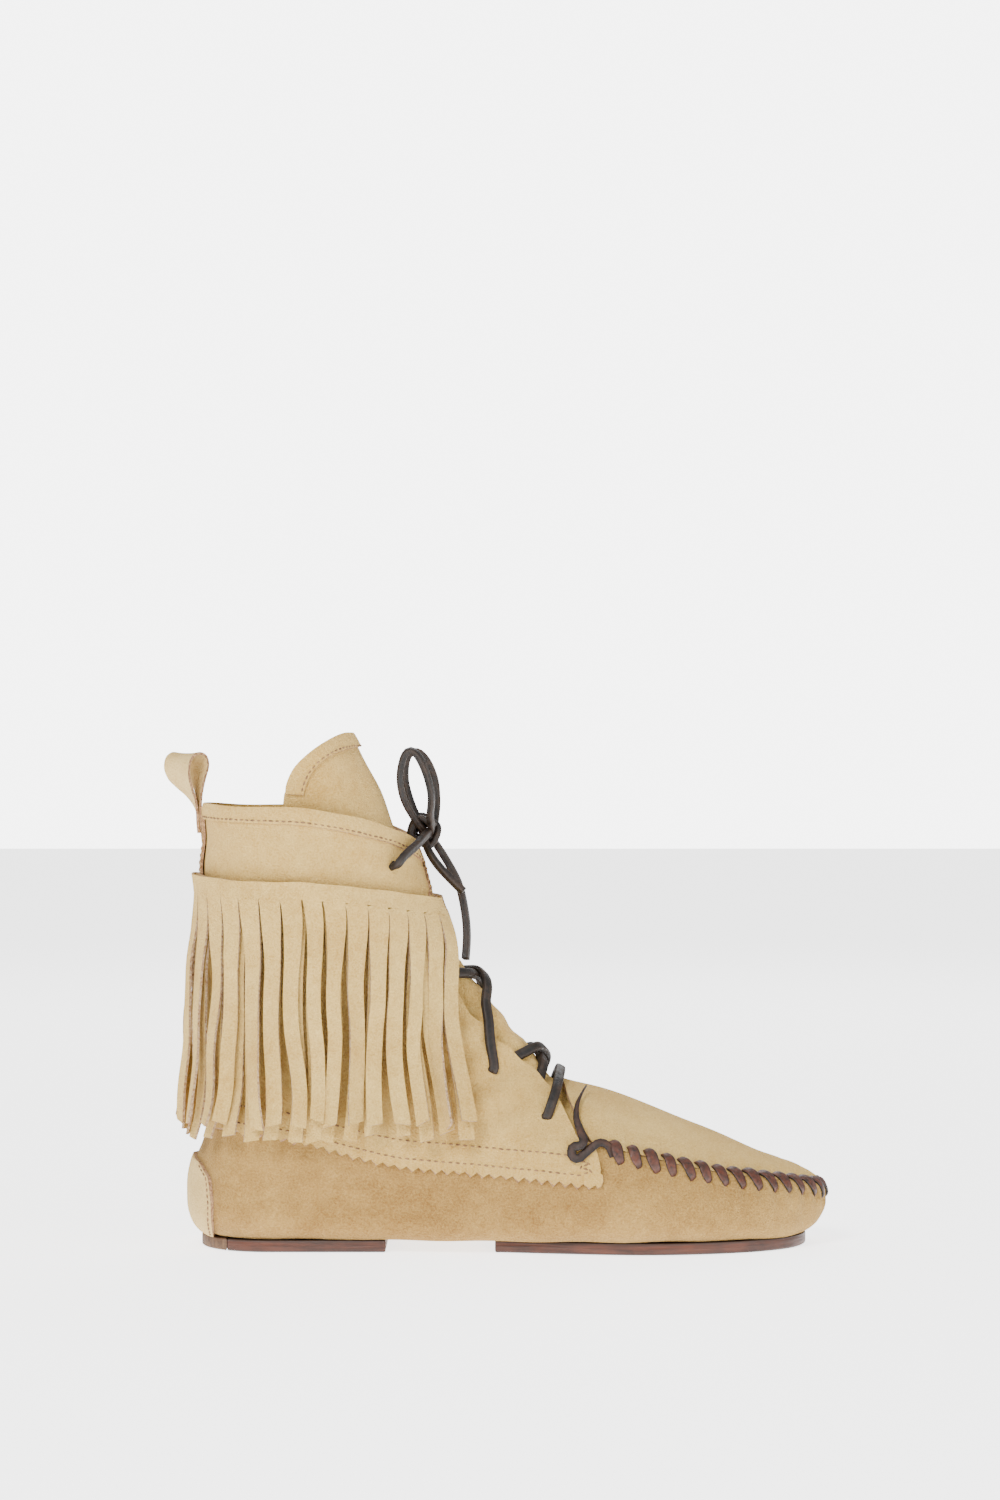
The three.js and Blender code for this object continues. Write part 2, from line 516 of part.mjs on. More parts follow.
// For each height, the angles that share out the boot's outline evenly, from the fringe's front edge to the back.
const edgeArcs = Array.from({ length: EDGE_STOPS + 1 }, (_, i) => {
  const [x, z] = [0, 1].map((k) => THREE.MathUtils.lerp(EDGE_TIP[k], EDGE_TOP[k], i / EDGE_STOPS));
  const front = Math.max(place([x, z]).angle, CROWN_ANGLE);
  const arc = [];
  for (let k = 0, length = 0, last = null; k <= ARC_STEPS; k++) {
    const angle = THREE.MathUtils.lerp(front, Math.PI, k / ARC_STEPS);
    const p = skin(sectionAt(z, angle), angle);
    if (last) length += p.distanceTo(last);
    last = p;
    arc.push({ angle, length });
  }
  return arc;
});
function shareOfArc(arc, share) {
  const length = share * arc.at(-1).length;
  const k = Math.max(arc.findIndex((step) => step.length >= length - 1e-9), 1);
  const [a, b] = [arc[k - 1], arc[k]];
  return THREE.MathUtils.lerp(a.angle, b.angle, (length - a.length) / (b.length - a.length));
}
// The angle at a height of a fraction round the fringe: -1 is the lateral front, 0 the back, 1 the medial front.
function roundAngle(round, height) {
  const along = THREE.MathUtils.clamp((height - EDGE_TIP[1]) / (EDGE_TOP[1] - EDGE_TIP[1]), 0, 1) * EDGE_STOPS;
  const i = Math.min(Math.floor(along), EDGE_STOPS - 1);
  const share = 1 - Math.abs(round);
  const angle = THREE.MathUtils.lerp(shareOfArc(edgeArcs[i], share), shareOfArc(edgeArcs[i + 1], share), along - i);
  return round < 0 ? -angle : angle;
}
const INNER_FLARE = 4; // how far the tips stand out beyond the roots
const OUTER_FLARE = 5.5;
const FRONT_LIFT = 2.4; // more at the front, where a lace runs behind the strands
const rootHeight = (round) => {
  const height = EDGE_TOP[1];
  const angle = roundAngle(round, height);
  return heightOn(FRINGE_ROOT, skin(sectionAt(height, angle), angle).x) - GAP;
};
// A point of a strand's middle line; fall runs from 0 at its root to 1 at an outer strand's tip.
function hanging(round, fall, offset, flare) {
  const tip = rootHeight(0) + FRINGE_HEADER - FRINGE_FALL;
  const height = THREE.MathUtils.lerp(rootHeight(round), tip, fall);
  const angle = roundAngle(round, height);
  const front = THREE.MathUtils.smoothstep(Math.abs(round), 0.65, 0.95) * THREE.MathUtils.smoothstep(fall, 0.03, 0.25);
  return skin(sectionAt(height, angle, offset), angle, offset + flare * fall + FRONT_LIFT * front);
}

// The uncut strip above the strands.
const STRANDS = 32;
function header(inner, outer) {
  const quads = [];
  for (let i = 0; i < STRANDS; i++) quads.push([[i, 0], [i, 1], [i + 1, 1], [i + 1, 0]]);
  return sheet(quads, (column, row, side) => {
    const round = -1 + (2 * column) / STRANDS;
    const height = rootHeight(round) + GAP + (row ? 0 : FRINGE_HEADER);
    const angle = roundAngle(round, EDGE_TOP[1]);
    const offset = side ? outer : inner;
    return skin(sectionAt(height, angle, offset), angle, offset);
  });
}
pieces.inner_fringe_header = header(INNER_FRINGE_IN, INNER_FRINGE_OUT);
pieces.outer_fringe_header = header(OUTER_FRINGE_IN, OUTER_FRINGE_OUT);

// A run of strands that hang from a narrow strip along their roots.
const ROOT_STRIP = 0.025; // share of the fall that stays uncut
const OUTER_FALLS = [0, ROOT_STRIP, 0.5, 1]; // rows of corners down a strand
const INNER_FALLS = [...OUTER_FALLS, 1 + INNER_DROP / (FRINGE_FALL - FRINGE_HEADER)];
const SIDE_STEP = 0.004;
function comb(from, to, count, middle, falls, flare) {
  const pitch = (to - from) / count;
  const quads = [];
  for (let i = 0; i < count; i++) {
    const [left, right] = [2 * i, 2 * i + 1];
    for (let row = 0; row + 1 < falls.length; row++) {
      quads.push([[left, row], [left, row + 1], [right, row + 1], [right, row]]);
    }
    if (i + 1 < count) quads.push([[right, 0], [right, 1], [right + 1, 1], [right + 1, 0]]);
  }
  return sheet(quads, (column, row, side) => {
    const round = from + (Math.floor(column / 2) + 0.5) * pitch;
    const near = (r, fall) => hanging(r, Math.max(fall, 0), middle, flare);
    const fall = falls[row];
    const wide = near(round + SIDE_STEP, fall).sub(near(round - SIDE_STEP, fall)).normalize();
    const down = near(round, fall + 0.02).sub(near(round, fall - 0.02));
    const deep = new THREE.Vector3().crossVectors(down, wide).normalize();
    const across = column % 2 ? 1 : -1;
    return near(round, fall).addScaledVector(wide, (across * STRAND_WIDTH) / 2).addScaledVector(deep, (side - 0.5) * TRIM);
  });
}
// Groups of strands, from the lateral front round the back to the medial front: each swings on its own.
const GROUPS = { lateral_front: 5, lateral_middle: 4, lateral_rear: 4, back: 6, medial_rear: 4, medial_middle: 4, medial_front: 5 };
const INNER_MIDDLE = (INNER_FRINGE_IN + INNER_FRINGE_OUT) / 2;
const OUTER_MIDDLE = (OUTER_FRINGE_IN + OUTER_FRINGE_OUT) / 2;
let counted = 0;
for (const [name, count] of Object.entries(GROUPS)) {
  const from = -1 + (2 * counted) / STRANDS;
  const to = -1 + (2 * (counted + count)) / STRANDS;
  pieces[`outer_fringe_${name}`] = comb(from, to, count, OUTER_MIDDLE, OUTER_FALLS, OUTER_FLARE);
  pieces[`inner_fringe_${name}`] = comb(from, to, count, INNER_MIDDLE, INNER_FALLS, INNER_FLARE);
  counted += count;
}

// ---- Lace -------------------------------------------------------------------------------------------------------------
// Places along the lace are { s, angle, offset } on the last. It crosses outside at the bottom bar and between the
// second and third holes, and behind the facings between the others.
const CROSS_STEPS = 12;
const CROWN_RISE = 0.8; // how far a taut crossing stands off what is under it
function stretch(from, to, under, lift) {
  const points = [];
  for (let i = 1; i < CROSS_STEPS; i++) {
    const u = (2 * i) / CROSS_STEPS - 1;
    const t = 0.5 + 0.5 * u * Math.abs(u) ** 0.4; // closer together near the crown
    const s = THREE.MathUtils.lerp(from.s, to.s, t);
    const angle = THREE.MathUtils.lerp(from.angle, to.angle, t);
    const onTongue = tongueDepth(s, angle) + 2.5 * FACET + GAP + LACE_THICKNESS / 2;
    const inSlot = 1 - THREE.MathUtils.smoothstep(Math.abs(angle) / facingAngle(s), 0.15, 0.8);
    const nearCrown = 1 - THREE.MathUtils.smoothstep(Math.abs(t - 0.5), 0.04, 0.36);
    const low = Math.max(LACE_UNDER, onTongue) + (lift + CROWN_RISE) * inSlot;
    points.push({ s, angle, offset: under ? low : LACE_OVER + lift * nearCrown });
  }
  return points;
}
const hole = (i, sign) => ({ s: EYELETS[i].s, angle: sign * EYELETS[i].angle });
function throughHole(where, inwards) {
  const depths = [LACE_OVER - 1.2, (LACE_OVER + LACE_UNDER) / 2, LACE_UNDER + 1];
  return (inwards ? depths : depths.reverse()).map((offset) => ({ ...where, offset, turning: true }));
}
const OVER_LIFT = LACE_THICKNESS + GAP;
function laceHalf(sign, lift) {
  const away = -sign;
  return [
    ...throughHole(hole(0, sign), true),
    ...stretch(hole(0, sign), hole(1, away), true, lift),
    ...throughHole(hole(1, away), false),
    ...stretch(hole(1, away), hole(2, sign), false, lift),
    ...throughHole(hole(2, sign), true),
    ...stretch(hole(2, sign), hole(3, away), true, lift),
    ...throughHole(hole(3, away), false),
  ];
}
const bar = stretch(hole(0, -1), hole(0, 1), false, 0);
const laceRoute = [...[...laceHalf(-1, 0)].reverse(), ...bar, ...laceHalf(1, OVER_LIFT)];

function normalAt({ s, angle }) {
  const alongSections = skin(s + 0.02, angle).sub(skin(s - 0.02, angle));
  const aroundSection = skin(s, angle + 0.02).sub(skin(s, angle - 0.02));
  return new THREE.Vector3().crossVectors(alongSections, aroundSection).normalize();
}
// The rings' middles and sides: the lace lies flat on the boot, and turns evenly where it passes through a hole.
function laidFlat(route) {
  const path = route.map((where) => ({ p: skin(where.s, where.angle, where.offset) }));
  let last = null;
  route.forEach((where, i) => {
    if (where.turning) return;
    const along = path[Math.min(i + 1, path.length - 1)].p.clone().sub(path[Math.max(i - 1, 0)].p);
    const side = new THREE.Vector3().crossVectors(along, normalAt(where)).normalize();
    if (last && side.dot(last) < 0) side.negate();
    path[i].side = last = side;
  });
  const known = path.map((step, i) => (step.side ? i : -1)).filter((i) => i >= 0);
  path.forEach((step, i) => {
    if (step.side) return;
    const before = path[known.findLast((k) => k < i) ?? known[0]].side;
    const after = path[known.find((k) => k > i) ?? known.at(-1)].side;
    step.side = before.clone().add(after).normalize();
  });
  return path;
}
const lacePath = laidFlat(laceRoute);
pieces.lace = strap(lacePath, LACE_WIDTH, LACE_THICKNESS);
// The leather that it passes through is cut clear of it.
const LACE_CLEARANCE = 0.2;
const laceRoom = strap(lacePath, LACE_WIDTH + 2 * LACE_CLEARANCE, LACE_THICKNESS + 2 * LACE_CLEARANCE);
for (const name of ["quarter_lateral", "quarter_medial", "eyelet_stay_lateral", "eyelet_stay_medial"]) {
  pieces[name] = pieces[name].subtract(laceRoom);
}

// ---- Bow --------------------------------------------------------------------------------------------------------------
// Each end of the lace leaves its top hole, goes through the knot, stands up in a loop, goes back through the knot and
// hangs down. A route is points from the hole to the tip; the knot hides the stretches inside it.
const LATERAL_END = [
  [41.2, -25.9, 155.2], [42.8, -27.4, 155.9], [45.6, -25.2, 159.4], [50, -18, 163.3], [53, -10.5, 166.5], [55, -3, 168.5],
  [57, 3, 170.5], [57.5, 7.5, 174], [58, 10, 181], [57, 12.5, 190], [53.5, 13.5, 198], [49, 13, 201.5], [45.5, 12, 198],
  [45, 10, 189], [47.5, 7, 180], [50.5, 3, 173], [52.5, -2, 167.5], [54.5, -5.5, 161.5], [58, -10, 156],
  [63, -12, 150.5], [69, -12, 144.5],
];
const MEDIAL_END = [
  [41.2, 25.9, 155.2], [42.8, 27.4, 155.9], [45.6, 25.2, 159.4], [50, 18, 163.3], [52.5, 10.5, 166], [54.5, 3, 167.5],
  [56, -3, 170], [55.5, -8, 175], [56, -11, 184], [53.5, -13.5, 194], [49.5, -14.5, 201], [45.5, -14, 200.5],
  [43.3, -12.5, 192], [44.5, -10, 183], [48.5, -6, 175], [53, -2, 169], [57, 1, 164.5], [62, -1, 157],
  [67, -3.5, 147.5], [69.5, -4.5, 137], [70.5, -6.5, 127], [70, -10, 117],
];
const KNOT_CENTRE = [53, 0, 168.5];
const KNOT_RADII = [6.2, 8, 6.4];
const LATERAL_LOOP = [5, 16]; // the points of each route from the knot round the loop and back to it
const MEDIAL_LOOP = [5, 15];
const END_STEPS = { start: 7, loop: 18, tail: 8 };

const knotSize = (more) => {
  const geometry = new THREE.SphereGeometry(1, 12, 8);
  geometry.scale(...KNOT_RADII.map((r) => r + more));
  geometry.translate(...atSize(KNOT_CENTRE));
  return solid(geometry);
};
// A point drawn for the drawn size, moved with the top of the boot.
const atSize = ([x, y, z]) => [x * alongX, y, SOLE + (z - 5) * upZ];
pieces.bow_knot = knotSize(0);
const knotRoom = knotSize(GAP);

// A strap along a curve, whose width turns as little as it can from ring to ring.
function freeStrap(curve, from, to, steps, width, thickness) {
  const path = [];
  let side = new THREE.Vector3(0, 1, 0);
  for (let i = 0; i <= steps; i++) {
    const t = THREE.MathUtils.lerp(from, to, i / steps);
    const along = curve.getTangent(t);
    side = side.clone().addScaledVector(along, -side.dot(along)).normalize();
    path.push({ p: curve.getPoint(t), side });
  }
  return strap(path, width, thickness);
}
for (const [name, route, loop] of [["lateral", LATERAL_END, LATERAL_LOOP], ["medial", MEDIAL_END, MEDIAL_LOOP]]) {
  const curve = new THREE.CatmullRomCurve3(route.map((p) => new THREE.Vector3(...atSize(p))), false, "centripetal");
  const [toLoop, fromLoop] = loop.map((i) => i / (route.length - 1));
  const stretches = { start: [0, toLoop], loop: [toLoop, fromLoop], tail: [fromLoop, 1] };
  for (const [stretchName, [from, to]] of Object.entries(stretches)) {
    const tube = freeStrap(curve, from, to, END_STEPS[stretchName], LACE_WIDTH, LACE_THICKNESS);
    pieces[`bow_${stretchName}_${name}`] = tube.subtract(knotRoom);
  }
}

// ---- Whip stitching -----------------------------------------------------------------------------------------------------
// One flat thong, over the seam outside and up behind it inside, through a slit in the plug and one in the wrap at each
// stitch, from the lateral quarter's front end round the toe to the medial one.
const ABOVE_SEAM = 3.8;
const BELOW_SEAM = 4.6;
const STITCH_LEAN = 6; // how much further along the seam the lower slit is
const STITCH_START = 127.5 * alongX;
const THONG_INSIDE = -SUEDE - 4 * FACET - GAP - THONG_THICKNESS / 2;
const THONG_OUTSIDE = GAP + THONG_THICKNESS / 2;
const lateralSeam = SEAM.filter(([x]) => x > STITCH_START && x < side2d([213, 0])[0]);
const seamPlaces = [[STITCH_START, heightOn(SEAM, STITCH_START)], ...lateralSeam].map(place);
const front = { s: sectionAt(heightOn(SEAM, side2d([217, 0])[0]), 0), angle: 0 };
const seamRound = [
  ...seamPlaces.map(({ s, angle }) => ({ s, angle: -angle })), front, ...[...seamPlaces].reverse(),
];
const seamCurve = new THREE.CatmullRomCurve3(seamRound.map(({ s, angle }) => new THREE.Vector3(s, angle, 0)), false, "centripetal");
// The seam as small steps of { s, angle, length so far }.
const SEAM_STEPS = 300;
const seamSteps = [];
for (let i = 0, length = 0, last = null; i <= SEAM_STEPS; i++) {
  const { x: s, y: angle } = seamCurve.getPoint(i / SEAM_STEPS);
  const p = skin(s, angle);
  if (last) length += p.distanceTo(last);
  last = p;
  seamSteps.push({ s, angle, length });
}
// The place at a length along the seam and a distance above it, measured over the surface.
function besideSeam(length, up) {
  const i = Math.max(seamSteps.findIndex((step) => step.length >= length), 1);
  const [a, b] = [seamSteps[i - 1], seamSteps[i]];
  const t = (length - a.length) / (b.length - a.length);
  let s = THREE.MathUtils.lerp(a.s, b.s, t);
  let angle = THREE.MathUtils.lerp(a.angle, b.angle, t);
  const along = skin(b.s, b.angle).sub(skin(a.s, a.angle)).normalize();
  const pieces = 4;
  for (let k = 0; k < pieces; k++) {
    const bySection = skin(s + 0.02, angle).sub(skin(s - 0.02, angle)).divideScalar(0.04);
    const byAngle = skin(s, angle + 0.02).sub(skin(s, angle - 0.02)).divideScalar(0.04);
    const upwards = new THREE.Vector3().crossVectors(bySection, byAngle).cross(along).normalize();
    if (upwards.z < 0) upwards.negate();
    const step = upwards.multiplyScalar(up / pieces);
    const [aa, ab, bb] = [bySection.dot(bySection), bySection.dot(byAngle), byAngle.dot(byAngle)];
    const [ra, rb] = [bySection.dot(step), byAngle.dot(step)];
    s += (ra * bb - rb * ab) / (aa * bb - ab * ab);
    angle += (rb * aa - ra * ab) / (aa * bb - ab * ab);
  }
  return { s, angle, along };
}
const thongPath = [];
const upperSlits = [];
const lowerSlits = [];
const seamLength = seamSteps.at(-1).length;
const stitchPitch = (seamLength - STITCH_LEAN) / (STITCHES - 1);
for (let i = 0; i < STITCHES; i++) {
  const upper = besideSeam(i * stitchPitch, ABOVE_SEAM);
  const lower = besideSeam(i * stitchPitch + STITCH_LEAN, -BELOW_SEAM);
  upperSlits.push(upper);
  lowerSlits.push(lower);
  const middle = besideSeam(i * stitchPitch + STITCH_LEAN / 2, (ABOVE_SEAM - BELOW_SEAM) / 2);
  for (const [where, offset] of [
    [upper, THONG_INSIDE], [upper, -SUEDE / 2], [upper, THONG_OUTSIDE], [middle, THONG_OUTSIDE + GAP],
    [lower, THONG_OUTSIDE], [lower, -SUEDE / 2], [lower, THONG_INSIDE],
  ]) {
    thongPath.push({ p: skin(where.s, where.angle, offset), side: where.along });
  }
}
// The same strap with square corners, because a thong is cut flat.
pieces.whip_thong = loft(thongPath.map(({ p, side }, i) => {
  const before = thongPath[Math.max(i - 1, 0)].p;
  const after = thongPath[Math.min(i + 1, thongPath.length - 1)].p;
  const along = after.clone().sub(before).normalize();
  const wide = side.clone().addScaledVector(along, -side.dot(along)).normalize();
  const deep = new THREE.Vector3().crossVectors(along, wide);
  return [[1, 1], [-1, 1], [-1, -1], [1, -1]].map(([w, h]) =>
    p.clone().addScaledVector(wide, (w * THONG_WIDTH) / 2).addScaledVector(deep, (h * THONG_THICKNESS) / 2));
}));
// A slit for each pass of the thong, square to the surface.
const SLIT_ROOM = [0.9, 1.5]; // along the seam, and across it
function slit({ s, angle, along }) {
  const [deep, high] = [-SUEDE - 4, 1.5].map((offset) => skin(s, angle, offset));
  const through = high.clone().sub(deep).normalize();
  const wide = along.clone().addScaledVector(through, -along.dot(through)).normalize();
  const thick = new THREE.Vector3().crossVectors(through, wide);
  const halfWide = THONG_WIDTH / 2 + SLIT_ROOM[0];
  const halfThick = THONG_THICKNESS / 2 + SLIT_ROOM[1];
  return loft([deep, high].map((middle) => [[1, 1], [-1, 1], [-1, -1], [1, -1]].map(([w, h]) =>
    middle.clone().addScaledVector(wide, w * halfWide).addScaledVector(thick, h * halfThick))));
}
pieces.wrap = lowerSlits.reduce((left, where) => left.subtract(slit(where)), wrap);
pieces.plug = upperSlits.reduce((left, where) => left.subtract(slit(where)), plug);

// ---- Pull loop ----------------------------------------------------------------------------------------------------------
// A folded strip above the collar's back edge, and the end of it that is sewn down outside the backstay.
const LOOP = [
  [-38.9, 180.9], [-39.6, 184], [-39.4, 190], [-41, 196], [-45, 199], [-50.5, 197.8], [-54.2, 192], [-52.5, 186.5],
  [-46.5, 182.5], [-41.2, 180.6],
];
const loopPath = LOOP.map(([x, z]) => ({ p: new THREE.Vector3(...atSize([x, 0, z])), side: new THREE.Vector3(0, 1, 0) }));
pieces.pull_loop = strap(loopPath, LOOP_WIDTH, TRIM);
const anchorOutline = [[-60, 161], [-20, 161], [-20, 174], [-60, 174]].map(side2d);
pieces.pull_loop_anchor = layer(BAND_OUT + GAP, BAND_OUT + GAP + TRIM).intersect(across(anchorOutline, -LOOP_WIDTH / 2, LOOP_WIDTH / 2));

// ---- Assembly -----------------------------------------------------------------------------------------------------------
const LOOKS = {
  suede: { color: 0xcfba91, roughness: 0.95, metalness: 0 },
  fringe: { color: 0xd5c29d, roughness: 0.95, metalness: 0 },
  wrap: { color: 0xc2ab85, roughness: 0.95, metalness: 0 },
  patch: { color: 0xdbccb0, roughness: 0.95, metalness: 0 },
  lace: { color: 0x423a34, roughness: 0.55, metalness: 0 },
  thong: { color: 0x7a482e, roughness: 0.5, metalness: 0 },
  sole: { color: 0x764830, roughness: 0.5, metalness: 0 },
  rubber: { color: 0x83674f, roughness: 0.8, metalness: 0 },
  board: { color: 0x96785a, roughness: 0.9, metalness: 0 },
  sock: { color: 0xc4aa80, roughness: 0.7, metalness: 0 },
  counter: { color: 0xcdbea0, roughness: 0.8, metalness: 0 },
};
const lookOf = (name) => {
  if (/^lace|bow/.test(name)) return LOOKS.lace;
  if (/thong/.test(name)) return LOOKS.thong;
  if (/rubber/.test(name)) return LOOKS.rubber;
  if (/heel_lift|forefoot/.test(name)) return LOOKS.sole;
  if (/board/.test(name)) return LOOKS.board;
  if (/sock/.test(name)) return LOOKS.sock;
  if (/counter/.test(name)) return LOOKS.counter;
  if (/patch|pull_loop/.test(name)) return LOOKS.patch;
  if (/fringe/.test(name)) return LOOKS.fringe;
  return name === "wrap" ? LOOKS.wrap : LOOKS.suede;
};

const boot = new THREE.Group();
for (const [name, piece] of Object.entries(pieces)) {
  const body = piece.decompose().reduce((most, one) => (one.volume() > most.volume() ? one : most)); // not a cut's slivers
  const { vertProperties, triVerts } = body.getMesh();
  const geometry = new THREE.BufferGeometry();
  geometry.setAttribute("position", new THREE.BufferAttribute(new Float32Array(vertProperties), 3));
  geometry.setIndex(new THREE.BufferAttribute(triVerts, 1));
  geometry.computeVertexNormals();
  const mesh = new THREE.Mesh(geometry, new THREE.MeshStandardMaterial(lookOf(name)));
  mesh.name = name;
  boot.add(mesh);
}

export default boot;
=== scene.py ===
import math
import random

import bmesh
import bpy
import numpy as np
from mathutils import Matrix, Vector


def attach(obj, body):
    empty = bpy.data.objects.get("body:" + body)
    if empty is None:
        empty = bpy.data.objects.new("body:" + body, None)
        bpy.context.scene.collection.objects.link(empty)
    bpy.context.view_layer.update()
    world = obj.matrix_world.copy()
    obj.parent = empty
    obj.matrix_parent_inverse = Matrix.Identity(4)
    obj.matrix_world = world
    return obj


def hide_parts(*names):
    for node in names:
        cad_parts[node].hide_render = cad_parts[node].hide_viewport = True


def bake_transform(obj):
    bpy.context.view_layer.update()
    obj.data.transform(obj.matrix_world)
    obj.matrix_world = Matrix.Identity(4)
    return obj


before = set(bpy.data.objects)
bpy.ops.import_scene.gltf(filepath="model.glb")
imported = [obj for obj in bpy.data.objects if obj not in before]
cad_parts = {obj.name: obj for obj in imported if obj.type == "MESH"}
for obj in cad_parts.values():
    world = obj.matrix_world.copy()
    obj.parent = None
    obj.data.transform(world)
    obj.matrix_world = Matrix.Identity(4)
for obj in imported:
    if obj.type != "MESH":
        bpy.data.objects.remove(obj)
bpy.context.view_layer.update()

MM = 0.001

# ---- Studio ----------------------------------------------------------------------------------
# A level camera looks across the boot from its lateral side, a metre and a half away. The boot
# stands on a plain pale floor, under large soft lights and a white surround.
camera_data = bpy.data.cameras.new("camera")
camera_data.lens = 87.8
camera_data.sensor_width = 36
camera = bpy.data.objects.new("camera", camera_data)
camera.location = (0.084, -1.5, 0.202)
camera.rotation_euler = (math.radians(90), 0, 0)
bpy.context.scene.collection.objects.link(camera)
bpy.context.scene.camera = camera

world = bpy.data.worlds.new("surround")
world.use_nodes = True
surround = world.node_tree.nodes["Background"]
surround.inputs["Color"].default_value = (1, 1, 1, 1)
bpy.context.scene.world = world
LIT_BY, SEEN_AS = 0.8, 6.0
seen = world.node_tree.nodes.new("ShaderNodeLightPath").outputs["Is Camera Ray"]
strength = world.node_tree.nodes.new("ShaderNodeMapRange")
strength.inputs["To Min"].default_value = LIT_BY
strength.inputs["To Max"].default_value = SEEN_AS
world.node_tree.links.new(seen, strength.inputs["Value"])
world.node_tree.links.new(strength.outputs[0], surround.inputs["Strength"])


def soft_light(name, position, target, size, power):
    data = bpy.data.lights.new(name, "AREA")
    data.shape = "DISK"
    data.size = size
    data.energy = power
    light = bpy.data.objects.new(name, data)
    light.location = position
    aim = Vector(target) - Vector(position)
    light.rotation_euler = aim.to_track_quat("-Z", "Y").to_euler()
    bpy.context.scene.collection.objects.link(light)


BOOT_MIDDLE = (0.08, 0, 0.09)
soft_light("key", (-0.55, -1.35, 1.35), BOOT_MIDDLE, 0.7, 34)
soft_light("fill", (1.3, -1.1, 0.7), BOOT_MIDDLE, 1.2, 9)
soft_light("rear", (0.2, 1.5, 1.2), BOOT_MIDDLE, 1.2, 14)


def tone(red, green, blue):
    """A colour seen as 0 to 255, as the linear light that a shader takes."""
    seen = np.array([red, green, blue]) / 255
    linear = np.where(seen <= 0.04045, seen / 12.92, ((seen + 0.055) / 1.055) ** 2.4)
    return (*[float(v) for v in linear], 1.0)


def add(tree, kind, settings=None, **inputs):
    """A node in a tree. Inputs go by name, with _ for a space, or by number as n0, n1."""
    made = tree.nodes.new(kind)
    for key, value in (settings or {}).items():
        setattr(made, key, value)
    for key, value in inputs.items():
        number = key[0] == "n" and key[1:].isdigit()
        socket = made.inputs[int(key[1:]) if number else key.replace("_", " ")]
        if isinstance(value, bpy.types.NodeSocket):
            tree.links.new(value, socket)
        else:
            socket.default_value = value
    return made


def start_material(name):
    material = bpy.data.materials.new(name)
    material.use_nodes = True
    tree = material.node_tree
    return material, tree, tree.nodes["Principled BSDF"]


def mixed(tree, share, first, second):
    made = add(tree, "ShaderNodeMix", {"data_type": "RGBA"}, n0=share, n6=first, n7=second)
    return made.outputs[2]


def noise(tree, where, scale, detail=2.0, rough=0.5):
    made = add(tree, "ShaderNodeTexNoise", Vector=where, Scale=scale, Detail=detail, Roughness=rough)
    return made.outputs[0]


def ranged(tree, value, low, high, to_low=0.0, to_high=1.0):
    made = add(tree, "ShaderNodeMapRange", n0=value, n1=low, n2=high, n3=to_low, n4=to_high)
    return made.outputs[0]


def maths(tree, operation, *values):
    """The outcome of one operation on numbers."""
    inputs = {f"n{k}": value for k, value in enumerate(values)}
    return add(tree, "ShaderNodeMath", {"operation": operation}, **inputs).outputs[0]


def relief(tree, shader, strength, distance, height):
    bump = add(tree, "ShaderNodeBump", Strength=strength, Distance=distance, Height=height)
    tree.links.new(bump.outputs[0], shader.inputs["Normal"])


FLOOR_REACH = 6
floor_material, tree, shader = start_material("studio_floor")
shader.inputs["Base Color"].default_value = tone(250, 250, 250)
shader.inputs["Roughness"].default_value = 0.9
shader.inputs["Emission Color"].default_value = (1, 1, 1, 1)
shader.inputs["Emission Strength"].default_value = 2.6
floor_mesh = bpy.data.meshes.new("floor")
floor_corners = [(x * FLOOR_REACH, y * FLOOR_REACH, 0) for x, y in ((-1, -1), (1, -1), (1, 1), (-1, 1))]
floor_mesh.from_pydata(floor_corners, [], [(0, 1, 2, 3)])
floor = bpy.data.objects.new("floor", floor_mesh)
floor.location.z = -0.0002
floor_mesh.materials.append(floor_material)
bpy.context.scene.collection.objects.link(floor)

